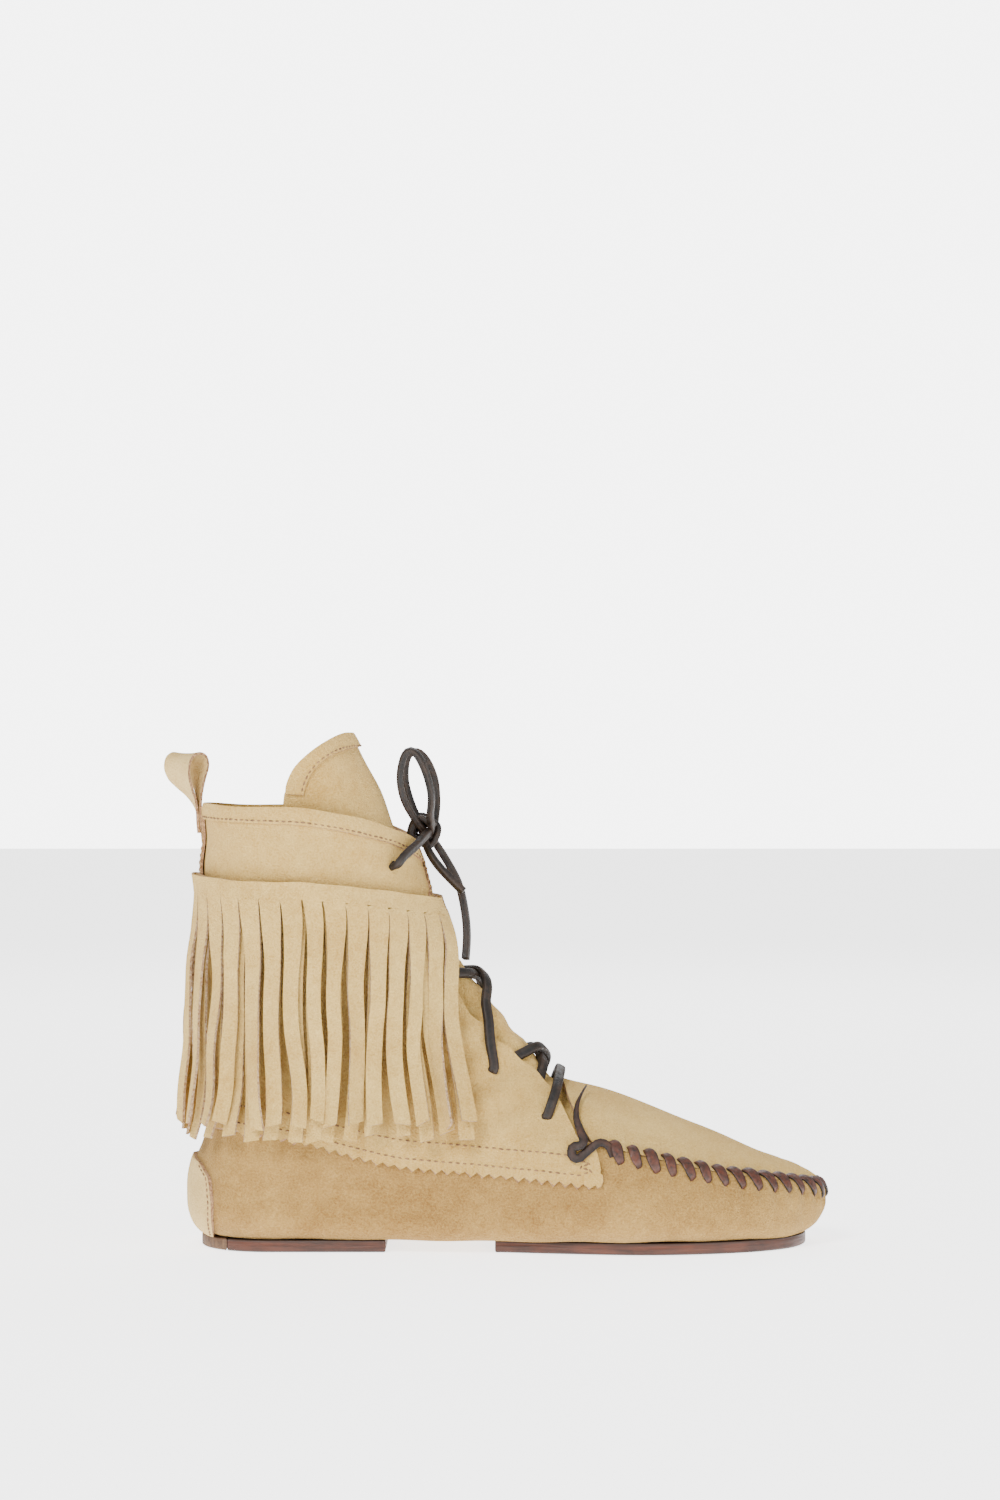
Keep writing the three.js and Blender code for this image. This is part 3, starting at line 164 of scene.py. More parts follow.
# ---- The boot's shape ------------------------------------------------------------------------
# Every piece of the upper lies on one last. Its cross-sections fan from upright at the toe,
# round the heel, to level at the collar. Lengths here are in millimetres, heights above the sole.
SOLE = 5.0
SUEDE = 1.5
TRIM = 1.1
GAP = 0.3
SECTIONS = np.array([
    # ridge x, z, bottom x, z, half-width, shift, how far down it is widest, squareness below
    [217.5, 10, 217.5, 10, 0, 6, 0.5, 2.2], [216, 17.5, 213.5, 2.5, 11.5, 5.5, 0.5, 2.4],
    [211, 23, 206, -1.5, 20.5, 5, 0.55, 2.8], [202.5, 27.5, 198, -3, 27.5, 4, 0.58, 3.2],
    [186.5, 33.5, 184, -3, 34.5, 2, 0.62, 3.6], [166, 42.4, 163, -3, 39.5, 0, 0.66, 4],
    [145.5, 51.2, 140, -3, 42.5, -1.5, 0.68, 4], [125, 59.3, 115, -3, 41, -2, 0.7, 4],
    [108, 63, 88, -3, 37.5, -1.5, 0.72, 4], [99.5, 70, 60, -3, 35, -1, 0.74, 4],
    [90, 80.5, 28, -3, 33.5, 0, 0.76, 4], [82.7, 90, 0, -3, 33, 0, 0.78, 4],
    [77.2, 97, -22, -2.5, 33, 0, 0.79, 3.6], [73.2, 101.5, -36, 1.5, 33, 0, 0.79, 3],
    [70, 105, -41.5, 9, 32.5, 0, 0.77, 2.6], [67.3, 108.8, -42.7, 19, 32, 0, 0.73, 2.3],
    [64.8, 112.6, -41, 28.5, 32, 0, 0.69, 2.2], [62.3, 115, -37.8, 37, 32, 0, 0.65, 2.2],
    [60.8, 119.5, -35.8, 46, 32.5, 0, 0.6, 2.2], [58.8, 126.5, -35.2, 65, 33.5, 0, 0.55, 2.2],
    [55.8, 134, -35.2, 95, 34.5, 0, 0.52, 2.2], [52.3, 143, -35.3, 125, 35.5, 0, 0.5, 2.2],
    [49, 154, -35.3, 150, 36, 0, 0.5, 2.2], [46.3, 163, -35, 172, 36, 0, 0.5, 2.2],
    [38.9, 182.6, -34, 192, 36, 0, 0.5, 2.2], [29.5, 200.6, -32, 212, 35, 0, 0.5, 2.2],
    [25, 210, -31, 221, 34.5, 0, 0.5, 2.2]])
LAST_SECTION = len(SECTIONS) - 1
TOE_TIP = 0.02


def section(s):
    """The cross-section at a fraction of the way from toe to collar, smoothed."""
    s = np.clip(s, 0, LAST_SECTION)
    i = np.minimum(np.floor(s).astype(int), LAST_SECTION - 1)
    t = (s - i)[..., None]
    a, b, c, d = (SECTIONS[np.clip(i + k, 0, LAST_SECTION)] for k in (-1, 0, 1, 2))
    slope_b, slope_c = (c - a) / 2, (d - b) / 2
    rest = 3 * (c - b) - 2 * slope_b - slope_c
    bend = 2 * (b - c) + slope_b + slope_c
    return b + t * (slope_b + t * (rest + t * bend))


def unit(vectors):
    return vectors / np.maximum(np.linalg.norm(vectors, axis=-1, keepdims=True), 1e-9)


def length_along(line):
    """The length run at each point of a line."""
    return np.concatenate([[0], np.cumsum(np.linalg.norm(np.diff(line, axis=0), axis=1))])


def read_at(at, length, line):
    """The values of a line at given lengths."""
    return np.stack([np.interp(at, length, line[:, k]) for k in range(line.shape[1])], 1)


def outward(s, column):
    before, after = section(np.maximum(s - 0.05, 0)), section(np.minimum(s + 0.05, LAST_SECTION))
    along = (after - before)[..., column:column + 2]
    turned = along[..., ::-1] * (np.array([1, -1]) if column == 0 else np.array([-1, 1]))
    return unit(turned)


def skin(s, angle, offset=0.0):
    """Points that stand off the last. angle is 0 on the ridge, pi below, negative laterally."""
    s, angle, offset = np.broadcast_arrays(*[np.asarray(v, float) for v in (s, angle, offset)])
    angle = (angle + np.pi) % (2 * np.pi) - np.pi
    row = section(s)
    ridge = row[..., 0:2] + outward(s, 0) * offset[..., None]
    bottom = row[..., 2:4] + outward(s, 2) * offset[..., None]
    half, shift, widest, square = (row[..., k] for k in (4, 5, 6, 7))
    turn = np.abs(angle)
    under = turn > np.pi / 2
    power = np.where(under, 2 / square, 1)
    out, down = np.abs(np.sin(turn)) ** power, np.abs(np.cos(turn)) ** power
    share = np.where(under, widest + (1 - widest) * down, widest * (1 - down))[..., None]
    middle = ridge + (bottom - ridge) * share
    y = shift + np.sign(angle) * (half + offset) * out
    z = np.maximum(SOLE + middle[..., 1], SOLE - offset)
    return np.stack([middle[..., 0], y, z], -1)


def section_at(height, angle, offset=0.0):
    """The section at which the surface reaches a height at an angle."""
    height, angle, offset = np.broadcast_arrays(
        *[np.asarray(v, float) for v in (height, angle, offset)])
    low, high = np.full(height.shape, 0.3), np.full(height.shape, float(LAST_SECTION))
    for _ in range(26):
        middle = (low + high) / 2
        short = skin(middle, angle, offset)[..., 2] < height
        low, high = np.where(short, middle, low), np.where(short, high, middle)
    return low


def place(x, z, offset=0.0):
    """The section and angle of the surface point that shows at x, z from the side."""
    x, z = np.asarray(x, float), np.asarray(z, float) + SOLE
    front, back = np.zeros(x.shape), np.full(x.shape, np.pi)
    for _ in range(26):
        middle = (front + back) / 2
        ahead = skin(section_at(z, -middle, offset), -middle, offset)[..., 0] > x
        front, back = np.where(ahead, middle, front), np.where(ahead, back, middle)
    return section_at(z, -front, offset), front


def smooth_line(points, count):
    """A smooth line through points drawn in the side view."""
    points = np.array(points, float)
    u = np.linspace(0, len(points) - 1, count)
    i = np.minimum(u.astype(int), len(points) - 2)
    t = (u - i)[:, None]
    last_point = len(points) - 1
    a, b, c, d = (points[np.clip(i + k, 0, last_point)] for k in (-1, 0, 1, 2))
    return 0.5 * (2 * b + (c - a) * t + (2 * a - 5 * b + 4 * c - d) * t ** 2
                  + (3 * b - a - 3 * c + d) * t ** 3)


def spaced(line, count):
    """The same line with its points evenly spaced."""
    length = length_along(line)
    return read_at(np.linspace(0, length[-1], count), length, line)


def smoothstep(value, low, high):
    t = np.clip((value - low) / (high - low), 0, 1)
    return t * t * (3 - 2 * t)


def ripple(points):
    """How far worn-in suede stands in or out of a smooth last, in millimetres."""
    x, y, z = (points[..., k] for k in range(3))
    slack = smoothstep(z, 22, 60) * (1 - smoothstep(z, 150, 185))
    folds = 0.55 * np.sin(0.21 * z + 0.13 * x + 0.9 * np.sin(0.05 * x + 0.4)) * slack
    ankle = np.exp(-((x - 74) / 26) ** 2 - ((z - 74) / 26) ** 2)
    folds = folds + 0.9 * ankle * np.sin(0.42 * z - 0.22 * x + 0.6 * np.sin(0.08 * y))
    wander = 0.35 * np.sin(0.11 * x + 0.17 * z + 0.09 * y) * np.sin(0.07 * x - 0.13 * z + 1.1)
    return folds + wander


def on_boot(s, angle, offset=0.0):
    """A place on the boot, with the ripples that every layer shares, in millimetres."""
    s, angle, offset = np.broadcast_arrays(*[np.asarray(v, float) for v in (s, angle, offset)])
    return skin(s, angle, offset + ripple(skin(s, angle)))


def facing_out(s, angle):
    """The direction straight out of the surface."""
    by_section = skin(s + 0.02, angle) - skin(np.asarray(s) - 0.02, angle)
    by_angle = skin(s, angle + 0.01) - skin(s, np.asarray(angle) - 0.01)
    return unit(np.cross(by_angle, by_section))


def finished(name, points, faces, material, cut=None, uv=None, sharp=35, merge=0.02):
    """A piece from points in millimetres. cut marks the faces that are raw cut edges."""
    mesh = bpy.data.meshes.new(name)
    mesh.from_pydata((np.asarray(points) * MM).tolist(), [], [tuple(f) for f in faces])
    if cut is not None:
        mark = mesh.attributes.new("cut", "FLOAT", "FACE")
        mark.data.foreach_set("value", np.asarray(cut, np.float32))
    if uv is not None:
        layer = mesh.uv_layers.new(name="run")
        corners = np.zeros(len(mesh.loops), int)
        mesh.loops.foreach_get("vertex_index", corners)
        layer.data.foreach_set("uv", np.asarray(uv, np.float32)[corners].ravel())
    built = bmesh.new()
    built.from_mesh(mesh)
    if merge:
        bmesh.ops.remove_doubles(built, verts=built.verts, dist=merge * MM)
    bmesh.ops.recalc_face_normals(built, faces=built.faces)
    built.to_mesh(mesh)
    built.free()
    mesh.materials.append(material)
    mesh.shade_smooth()
    mesh.set_sharp_from_angle(angle=math.radians(sharp))
    piece = bpy.data.objects.new(name, mesh)
    bpy.context.scene.collection.objects.link(piece)
    return piece


ALL_EDGES = ("first", "last", "left", "right")


def leather_sheet(name, outer, inner, material, rims=ALL_EDGES, rim_from=0, uncut=()):
    """A cut piece of leather between two grids of points, with its raw edges marked."""
    rows, columns = outer.shape[:2]
    points = np.concatenate([outer.reshape(-1, 3), inner.reshape(-1, 3)])
    inside = rows * columns
    number = np.arange(inside).reshape(rows, columns)
    corners = [number[:-1, :-1], number[:-1, 1:], number[1:, 1:], number[1:, :-1]]
    quads = np.stack(corners, -1).reshape(-1, 4)
    faces = [tuple(q) for q in quads.tolist()]
    faces += [tuple(q[::-1]) for q in (quads + inside).tolist()]
    cut = [0] * len(faces)
    edges = {"first": number[0], "last": number[-1][::-1],
             "left": number[rim_from:, 0][::-1], "right": number[rim_from:, -1]}
    for rim in rims:
        line = edges[rim].tolist()
        for a, b in zip(line, line[1:]):
            faces.append((b, a, a + inside, b + inside))
            cut.append(0 if rim in uncut else 1)
    return finished(name, points, faces, material, cut)


def suede(name, light, dark, edge, edge_shade_dark, nap=1.0):
    """Napped suede: brushed light and dark patches, fine grain, and pale fibrous cut edges mottled with a
    dark brown that is partly painted shade, for the shadow lines beside them.
    """
    material, tree, shader = start_material(name)
    where = add(tree, "ShaderNodeTexCoord").outputs["Object"]
    brushed = ranged(tree, noise(tree, where, 26, 3, 0.55), 0.35, 0.68)
    mottled = ranged(tree, noise(tree, where, 170, 4, 0.6), 0.34, 0.66)
    grain = ranged(tree, noise(tree, where, 1250, 3, 0.7), 0.3, 0.7)
    share = maths(tree, "MULTIPLY_ADD", brushed, 0.3, maths(tree, "MULTIPLY", mottled, 0.22))
    share = maths(tree, "MULTIPLY_ADD", grain, 0.62, share)
    face = mixed(tree, share, light, dark)
    fibres = ranged(tree, noise(tree, where, 900, 2, 0.6), 0.3, 0.7)
    # Raw edges mix pale fibres with dark brown; the brown is partly painted shade for the shadow lines along
    # cut edges.
    raw = mixed(tree, fibres, edge, edge_shade_dark)
    mark = add(tree, "ShaderNodeAttribute", {"attribute_name": "cut"}).outputs["Fac"]
    tree.links.new(mixed(tree, mark, face, raw), shader.inputs["Base Color"])
    shader.inputs["Roughness"].default_value = 0.93
    shader.inputs["Specular IOR Level"].default_value = 0.15
    shader.inputs["Sheen Weight"].default_value = 0.2
    shader.inputs["Sheen Roughness"].default_value = 0.45
    shader.inputs["Sheen Tint"].default_value = tone(255, 232, 188)
    height = maths(tree, "MULTIPLY_ADD", mottled, 0.5, grain)
    relief(tree, shader, 0.9 * nap, 0.0005, height)
    return material


# The dark cut-edge brown is partly painted shade, standing in for the shadow lines along raw edges.
CUT_PALE, CUT_BROWN_SHADE = tone(204, 164, 124), tone(122, 84, 56)
shaft_suede = suede("shaft_suede", tone(226, 194, 120), tone(184, 142, 70), CUT_PALE, CUT_BROWN_SHADE)
# The wrap uses the shaft's suede made darker: painted shade for the low sides of the foot, which face away
# from the light.
wrap_suede = suede("wrap_suede", tone(192, 156, 90), tone(134, 98, 48), CUT_PALE, CUT_BROWN_SHADE)
pale_suede = suede("patch_suede", tone(228, 200, 138), tone(196, 160, 96), CUT_PALE, CUT_BROWN_SHADE)

# ---- Lace and bow ----------------------------------------------------------------------------
# One square-cut waxed leather lace. It bars across at the bottom, crosses up through four holes
# a side, and its two ends leave the top holes for a bow at the collar.
LACE_THICKNESS = 2.8
STAY_IN = -TRIM
LACE_UNDER = STAY_IN - 0.4 - GAP - LACE_THICKNESS / 2
LACE_OVER = GAP + SUEDE + GAP + LACE_THICKNESS / 2
PROFILE_POINTS = 20


def lace_leather(name, light, dark, ridge_count):
    """Waxed leather, with ridges along its run, random worn patches, and lighter bands along the ridges that
    are painted highlight.
    """
    material, tree, shader = start_material(name)
    where = add(tree, "ShaderNodeTexCoord").outputs["Object"]
    run = add(tree, "ShaderNodeUVMap", {"uv_map": "run"}).outputs[0]
    u = add(tree, "ShaderNodeSeparateXYZ", Vector=run).outputs[0]
    wave = maths(tree, "SINE", maths(tree, "MULTIPLY", u, 2 * math.pi * ridge_count))
    crease = ranged(tree, noise(tree, where, 420, 4, 0.65), 0.35, 0.7)
    worn = ranged(tree, noise(tree, where, 90, 3, 0.6), 0.4, 0.7)
    share = maths(tree, "MULTIPLY", crease, worn)
    # Lighter bands follow the ridges round the section: painted highlight.
    share = maths(tree, "MULTIPLY_ADD", ranged(tree, wave, -1, 1), 0.3, share)
    tree.links.new(mixed(tree, share, dark, light), shader.inputs["Base Color"])
    tree.links.new(ranged(tree, crease, 0, 1, 0.42, 0.66), shader.inputs["Roughness"])
    shader.inputs["Specular IOR Level"].default_value = 0.35
    relief(tree, shader, 0.6, 0.0003, maths(tree, "MULTIPLY_ADD", wave, 0.35, crease))
    return material


dark_lace = lace_leather("lace_leather", tone(60, 45, 34), tone(12, 9, 7), 4)


def strap_profile(width, thickness, corners=4):
    """A rounded square section, as offsets across and through, with its run across as u."""
    ring = []
    for k in range(PROFILE_POINTS):
        turn = 2 * math.pi * (k + 0.5) / PROFILE_POINTS
        c, s = math.cos(turn), math.sin(turn)
        reach = (abs(c) ** corners + abs(s) ** corners) ** (-1 / corners)
        ring.append((c * reach * width / 2, s * reach * thickness / 2, k / PROFILE_POINTS))
    return ring


def strap(name, path, sides, profile, material, grow=None):
    """A lace or thong along a path. sides is the direction of its width at each point."""
    path, sides = np.asarray(path, float), np.asarray(sides, float)
    along = unit(np.gradient(path, axis=0))
    wide = unit(sides - along * np.sum(sides * along, axis=1, keepdims=True))
    deep = np.cross(along, wide)
    grow = np.ones((len(path), 2)) if grow is None else np.asarray(grow, float)
    length = length_along(path)
    points, uv, faces = [], [], []
    count = len(profile)
    for i, p in enumerate(path):
        for across, through, u in profile:
            points.append(p + wide[i] * across * grow[i, 0] + deep[i] * through * grow[i, 1])
            uv.append((u, length[i] / 10))
    for i in range(len(path) - 1):
        for k in range(count):
            a, b = i * count + k, i * count + (k + 1) % count
            faces.append((a, b, b + count, a + count))
    for end in (0, len(path) - 1):
        points.append(path[end] + along[end] * (0.25 if end else -0.25))
        uv.append((0.5, length[end] / 10))
        hub = len(points) - 1
        for k in range(count):
            faces.append((end * count + k, end * count + (k + 1) % count, hub))
    return finished(name, points, faces, material, None, uv, 50, 0)


def rounded(path, count):
    """A path smoothed through its points, and spaced evenly."""
    path = np.asarray(path, float)
    return spaced(smooth_line(path, len(path) * 6), count)


def free_sides(path, first):
    """Sides that turn as little as they can from point to point."""
    side, sides = np.array(first, float), []
    for direction in unit(np.gradient(np.asarray(path, float), axis=0)):
        side = unit(side - direction * np.dot(side, direction))
        sides.append(side)
    return np.array(sides)


facing_angle = lambda s: 0.2 + 0.38 * np.clip((18 - s) / 10, 0, 1.1)
TONGUE_CROWN = -SUEDE - GAP
TONGUE_SWELL = 3.0
TONGUE_LOW = LACE_UNDER - LACE_THICKNESS / 2


def tongue_depth(s, angle):
    """The tongue swells up between the facings, and lies deeper beside them and near its top."""
    beside = smoothstep(np.abs(angle) / facing_angle(s), 0.4, 0.85)
    s = np.asarray(s, float)
    crown = TONGUE_CROWN + TONGUE_SWELL * smoothstep(s, 8.2, 9.6)
    return crown + (TONGUE_LOW - crown) * np.maximum(beside, smoothstep(s, 15, 18))


EYELETS = [(102.6, 49.5), (80.4, 67.8), (57.5, 104), (39.2, 149.8)]
eyelet_s, eyelet_angle = place([e[0] for e in EYELETS], [e[1] for e in EYELETS])
CROSS_STEPS = 12


def crossing(start, end, under, lift):
    """Places along one crossing of the lace, over the facings or behind them."""
    route = []
    for i in range(1, CROSS_STEPS):
        u = 2 * i / CROSS_STEPS - 1
        t = 0.5 + 0.5 * u * abs(u) ** 0.4
        s, angle = (start[k] + (end[k] - start[k]) * t for k in (0, 1))
        on_tongue = tongue_depth(s, angle) + 0.1 + LACE_THICKNESS / 2
        in_slot = 1 - smoothstep(abs(angle) / facing_angle(s), 0.15, 0.8)
        near_crown = 1 - smoothstep(abs(t - 0.5), 0.04, 0.36)
        low = max(LACE_UNDER, on_tongue) + (lift + 0.2) * in_slot
        route.append((s, angle, low if under else LACE_OVER + lift * near_crown, False))
    return route


def through_hole(hole, inwards):
    depths = [LACE_OVER - 1.2, (LACE_OVER + LACE_UNDER) / 2, LACE_UNDER + 1]
    return [(*hole, d, True) for d in (depths if inwards else depths[::-1])]


def lace_half(sign, lift):
    hole = lambda i, side: (eyelet_s[i], side * eyelet_angle[i])
    away = -sign
    return [
        *through_hole(hole(0, sign), True), *crossing(hole(0, sign), hole(1, away), True, lift),
        *through_hole(hole(1, away), False), *crossing(hole(1, away), hole(2, sign), False, lift),
        *through_hole(hole(2, sign), True), *crossing(hole(2, sign), hole(3, away), True, lift),
        *through_hole(hole(3, away), False)]


bar = crossing((eyelet_s[0], -eyelet_angle[0]), (eyelet_s[0], eyelet_angle[0]), False, 0)
lace_route = lace_half(-1, 0)[::-1] + bar + lace_half(1, 0.9 * LACE_THICKNESS)
lace_path = np.array([on_boot(s, a, d) for s, a, d, _ in lace_route])
lace_sides, last_side = [], None
for i, (s, a, d, turning) in enumerate(lace_route):
    if turning:
        lace_sides.append(None)
        continue
    run = lace_path[min(i + 1, len(lace_path) - 1)] - lace_path[max(i - 1, 0)]
    side = unit(np.cross(run, facing_out(s, a)))
    if last_side is not None and side @ last_side < 0:
        side = -side
    last_side = side
    lace_sides.append(side)
known = [i for i, side in enumerate(lace_sides) if side is not None]
for i, side in enumerate(lace_sides):
    if side is None:
        before = max([k for k in known if k < i], default=known[0])
        after = min([k for k in known if k > i], default=known[-1])
        lace_sides[i] = unit(lace_sides[before] + lace_sides[after])
joined = smooth_line(np.hstack([lace_path, np.array(lace_sides)]), len(lace_route) * 4)
lace = strap("lace_crossings", joined[:, :3], joined[:, 3:], strap_profile(4.1, 2.9), dark_lace)
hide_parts("lace")
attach(lace, "boot")

LATERAL_END = [
    (41.2, -25.9, 155.2), (42.8, -27.4, 155.9), (45.6, -25.2, 159.4), (50, -18, 163.3),
    (53, -10.5, 166.5), (55, -3, 168.5), (57, 3, 170.5), (57.5, 7.5, 174), (58, 10, 181),
    (57, 12.5, 190), (53.5, 13.5, 198), (49, 13, 201.5), (45.5, 12, 198), (45, 10, 189),
    (47.5, 7, 180), (50.5, 3, 173), (52.5, -2, 167.5), (54.5, -5.5, 161.5), (58, -10, 156),
    (63, -12, 150.5), (69, -12, 144.5)]
MEDIAL_END = [
    (41.2, 25.9, 155.2), (42.8, 27.4, 155.9), (45.6, 25.2, 159.4), (50, 18, 163.3),
    (52.5, 10.5, 166), (54.5, 3, 167.5), (56, -3, 170), (55.5, -8, 175), (56, -11, 184),
    (53.5, -13.5, 194), (49.5, -14.5, 201), (45.5, -14, 200.5), (43.3, -12.5, 192),
    (44.5, -10, 183), (48.5, -6, 175), (53, -2, 169), (57, 1, 164.5), (62, -1, 157),
    (67, -3.5, 147.5), (69.5, -4.5, 137), (70.5, -6.5, 127), (70, -10, 117)]
KNOT = np.array([53, 0, 168.5])
KNOT_HALF, KNOT_TURNS, KNOT_STEPS = 5.0, 1.55, 60
for side_name, route in (("lateral", LATERAL_END), ("medial", MEDIAL_END)):
    path = rounded(route, 110)
    end = strap(f"bow_end_{side_name}", path, free_sides(path, (0, 1, 0)),
                strap_profile(4.0, 2.8), dark_lace)
    length = float(length_along(path)[-1]) * MM
    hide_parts(*[f"bow_{part}_{side_name}" for part in ("start", "loop", "tail")])
    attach(end, "boot")

# The turns of the knot, pulled down over the two loops.
turn_path = []
for t in np.linspace(0, 1, KNOT_STEPS):
    turn = 2 * math.pi * KNOT_TURNS * t + 0.6
    turn_path.append(KNOT + np.array([
        KNOT_HALF * math.cos(turn) * (0.9 + 0.1 * math.cos(2 * turn)),
        KNOT_HALF * (2 * t - 1) + 1.2 * math.sin(turn),
        5.2 * math.sin(turn) + 0.8 * math.cos(3 * turn)]))
knot = strap("bow_knot_turns", turn_path, free_sides(turn_path, (0, 1, 0)),
             strap_profile(4.6, 2.6), dark_lace)
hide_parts("bow_knot")
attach(knot, "boot")

# ---- Wrap and plug ---------------------------------------------------------------------------
# The wrap is one sheet of suede under the foot and up its sides. The plug is a second piece over
# the toes. Their edges are gathered between the whip stitches and stand up in a low ridge.
SEAM = smooth_line([(104, 44), (124, 38.2), (140, 34.6), (158, 30), (174.5, 26.6), (192, 23.4),
                    (206, 21), (222, 16.5)], 60)
HEM = smooth_line([(-60, 44.5), (-21, 43.4), (-1, 41), (12, 38.4), (26, 34.6), (40, 31.4),
                   (54, 29.8), (89, 26.7), (123.5, 23.5)], 240)
WRAP_UNDERLAP = 9
STITCHES = 29
STITCH_START = 127.5
STITCH_LEAN = 6.0
ABOVE_SEAM, BELOW_SEAM = 3.8, 4.6
GATHERED_FROM = 92
SEAM_POINTS = 900


def height_on(line, x):
    return np.interp(x, line[:, 0], line[:, 1])


seam_x = np.linspace(104, 213, 90)
seam_s, seam_angle = place(seam_x, height_on(SEAM, seam_x))
toe_s = float(section_at(height_on(SEAM, 217) + SOLE, 0.0))
toe_ease = np.linspace(0, 1, 12)[1:]
seam_s = np.concatenate([seam_s, seam_s[-1] + (toe_s - seam_s[-1]) * toe_ease ** 0.8])
seam_angle = np.concatenate([seam_angle, seam_angle[-1] * np.sqrt(np.maximum(1 - toe_ease ** 2, 0))])
whole_seam = spaced(np.stack([np.concatenate([seam_s[12:], seam_s[-2::-1][:-12]]),
                              np.concatenate([-seam_angle[12:], seam_angle[-2::-1][:-12]])], 1), SEAM_POINTS)
seam_points = skin(whole_seam[:, 0], whole_seam[:, 1])
seam_lengths = length_along(seam_points)
to_toe = SEAM_POINTS // 2
start_length = float(np.interp(STITCH_START, seam_points[:to_toe, 0], seam_lengths[:to_toe]))
stitch_pitch = (seam_lengths[-1] - 2 * start_length - STITCH_LEAN) / (STITCHES - 1)


def gather(s, angle, side):
    """The ridge and puckers beside the whip-stitched seam. side is 1 on the plug, -1 on the wrap."""
    at = skin(s, angle)
    flat = at.reshape(-1, 3)
    near, length = np.full(len(flat), 99.0), np.zeros(len(flat))
    ahead = np.where(flat[:, 0] > GATHERED_FROM)[0]
    for chunk in np.array_split(ahead, max(len(ahead) // 2000, 1)):
        away = np.linalg.norm(flat[chunk][:, None] - seam_points[None, ::2], axis=2)
        nearest = away.argmin(1)
        near[chunk], length[chunk] = away.min(1), seam_lengths[::2][nearest]
    near, length = near.reshape(at.shape[:-1]), length.reshape(at.shape[:-1])
    phase = (length - start_length - (0 if side > 0 else STITCH_LEAN)) / stitch_pitch
    end_length = seam_lengths[-1] - start_length
    on = smoothstep(length, start_length - 6, start_length + 2)
    on = on * (1 - smoothstep(length, end_length - 2, end_length + 6))
    puckers = -0.75 * np.cos(2 * np.pi * phase) * np.exp(-((near - 3.5) / 6.5) ** 2)
    long_folds = 0.3 * np.sin(2 * np.pi * phase * 0.5 + 1.0) * np.exp(-((near - 8) / 9) ** 2)
    ridge = 1.0 * np.exp(-(near / 2.4) ** 2)
    return (puckers + long_folds + ridge) * on


hem_x = np.concatenate([np.linspace(96, -34, 110), np.linspace(-34.6, -60, 14)])
hem_s, hem_angle = place(hem_x, height_on(HEM, hem_x) + WRAP_UNDERLAP)
top_s = np.concatenate([seam_s[::-1], hem_s[1:]])
top_angle = np.concatenate([seam_angle[::-1], hem_angle[1:]])
rising = np.concatenate([[True], np.diff(np.maximum.accumulate(top_s)) > 1e-4])
top_s, top_angle = top_s[rising], top_angle[rising]
RING_ROWS = 14
rows_s = np.concatenate([TOE_TIP + (toe_s - TOE_TIP) * np.linspace(0, 1, RING_ROWS)[:-1], top_s])
rows_angle = np.concatenate([np.zeros(RING_ROWS - 1), top_angle])
WRAP_ACROSS = 104
share = np.linspace(0, 1, WRAP_ACROSS)
wrap_s = np.repeat(rows_s[:, None], WRAP_ACROSS, 1)
wrap_angle = rows_angle[:, None] + (2 * np.pi - 2 * rows_angle[:, None]) * share[None, :]
lift = gather(wrap_s, wrap_angle, -1)


def sheet_between(name, s, angle, low, high, material, lift=0.0, face=None, **edges):
    """A leather piece over a grid of sections and angles, between two stand-offs.

    face gives its outer face a grid of its own, so that its raw edges are skived.
    """
    face_s, face_angle = face or (s, angle)
    outer, inner = on_boot(face_s, face_angle, high + lift), on_boot(s, angle, low + lift)
    return leather_sheet(name, outer, inner, material, **edges)


wrap = sheet_between("wrap_upper", wrap_s, wrap_angle, -SUEDE, 0.0, wrap_suede, lift,
                     rims=("left", "right"), rim_from=RING_ROWS - 1)
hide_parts("wrap")
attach(wrap, "boot")

PLUG_ACROSS = 72
PLUG_BACK = 7.05
plug_rows = (seam_s > toe_s) & (seam_s < PLUG_BACK)
edge_s, edge_angle = seam_s[plug_rows][::-1], seam_angle[plug_rows][::-1]
edge_s, edge_angle = np.concatenate([[toe_s], edge_s]), np.concatenate([[0.0], edge_angle])
tight = np.maximum(edge_angle - 0.010, 0)
across = np.linspace(-1, 1, PLUG_ACROSS)
plug_angle = tight[:, None] * across[None, :]
behind = smoothstep(edge_s, 5.2, PLUG_BACK)[:, None]
plug_s = edge_s[:, None] + 0.85 * behind * (1 - across[None, :] ** 2)
plug_lift = gather(plug_s, plug_angle, 1) + 0.35
plug = sheet_between("toe_plug", plug_s, plug_angle, -SUEDE, 0.0, shaft_suede, plug_lift,
                     rims=("left", "right", "last"))
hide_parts("plug")
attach(plug, "boot")

# ---- Whip stitching --------------------------------------------------------------------------
# One oiled leather thong is whipped over the ridge, down through a slit in the wrap and up behind
# through one in the plug. It starts with a knotted turn whose tail lies up over the instep.
thong_material, tree, shader = start_material("thong_leather")
where = add(tree, "ShaderNodeTexCoord").outputs["Object"]
run = add(tree, "ShaderNodeUVMap", {"uv_map": "run"}).outputs[0]
u = add(tree, "ShaderNodeSeparateXYZ", Vector=run).outputs[0]
# The thong darkens to near black towards its two sides: painted shade where it turns away from the light.
centred = maths(tree, "ABSOLUTE", maths(tree, "COSINE", maths(tree, "MULTIPLY", u, 2 * math.pi)))
thong_side_shade = ranged(tree, centred, 0.62, 0.98)
flecks = ranged(tree, noise(tree, where, 520, 4, 0.65), 0.35, 0.68)
face = mixed(tree, flecks, tone(82, 36, 14), tone(32, 14, 6))
tree.links.new(mixed(tree, thong_side_shade, face, tone(18, 11, 8)), shader.inputs["Base Color"])
tree.links.new(ranged(tree, flecks, 0, 1, 0.36, 0.55), shader.inputs["Roughness"])
relief(tree, shader, 0.5, 0.0003, flecks)


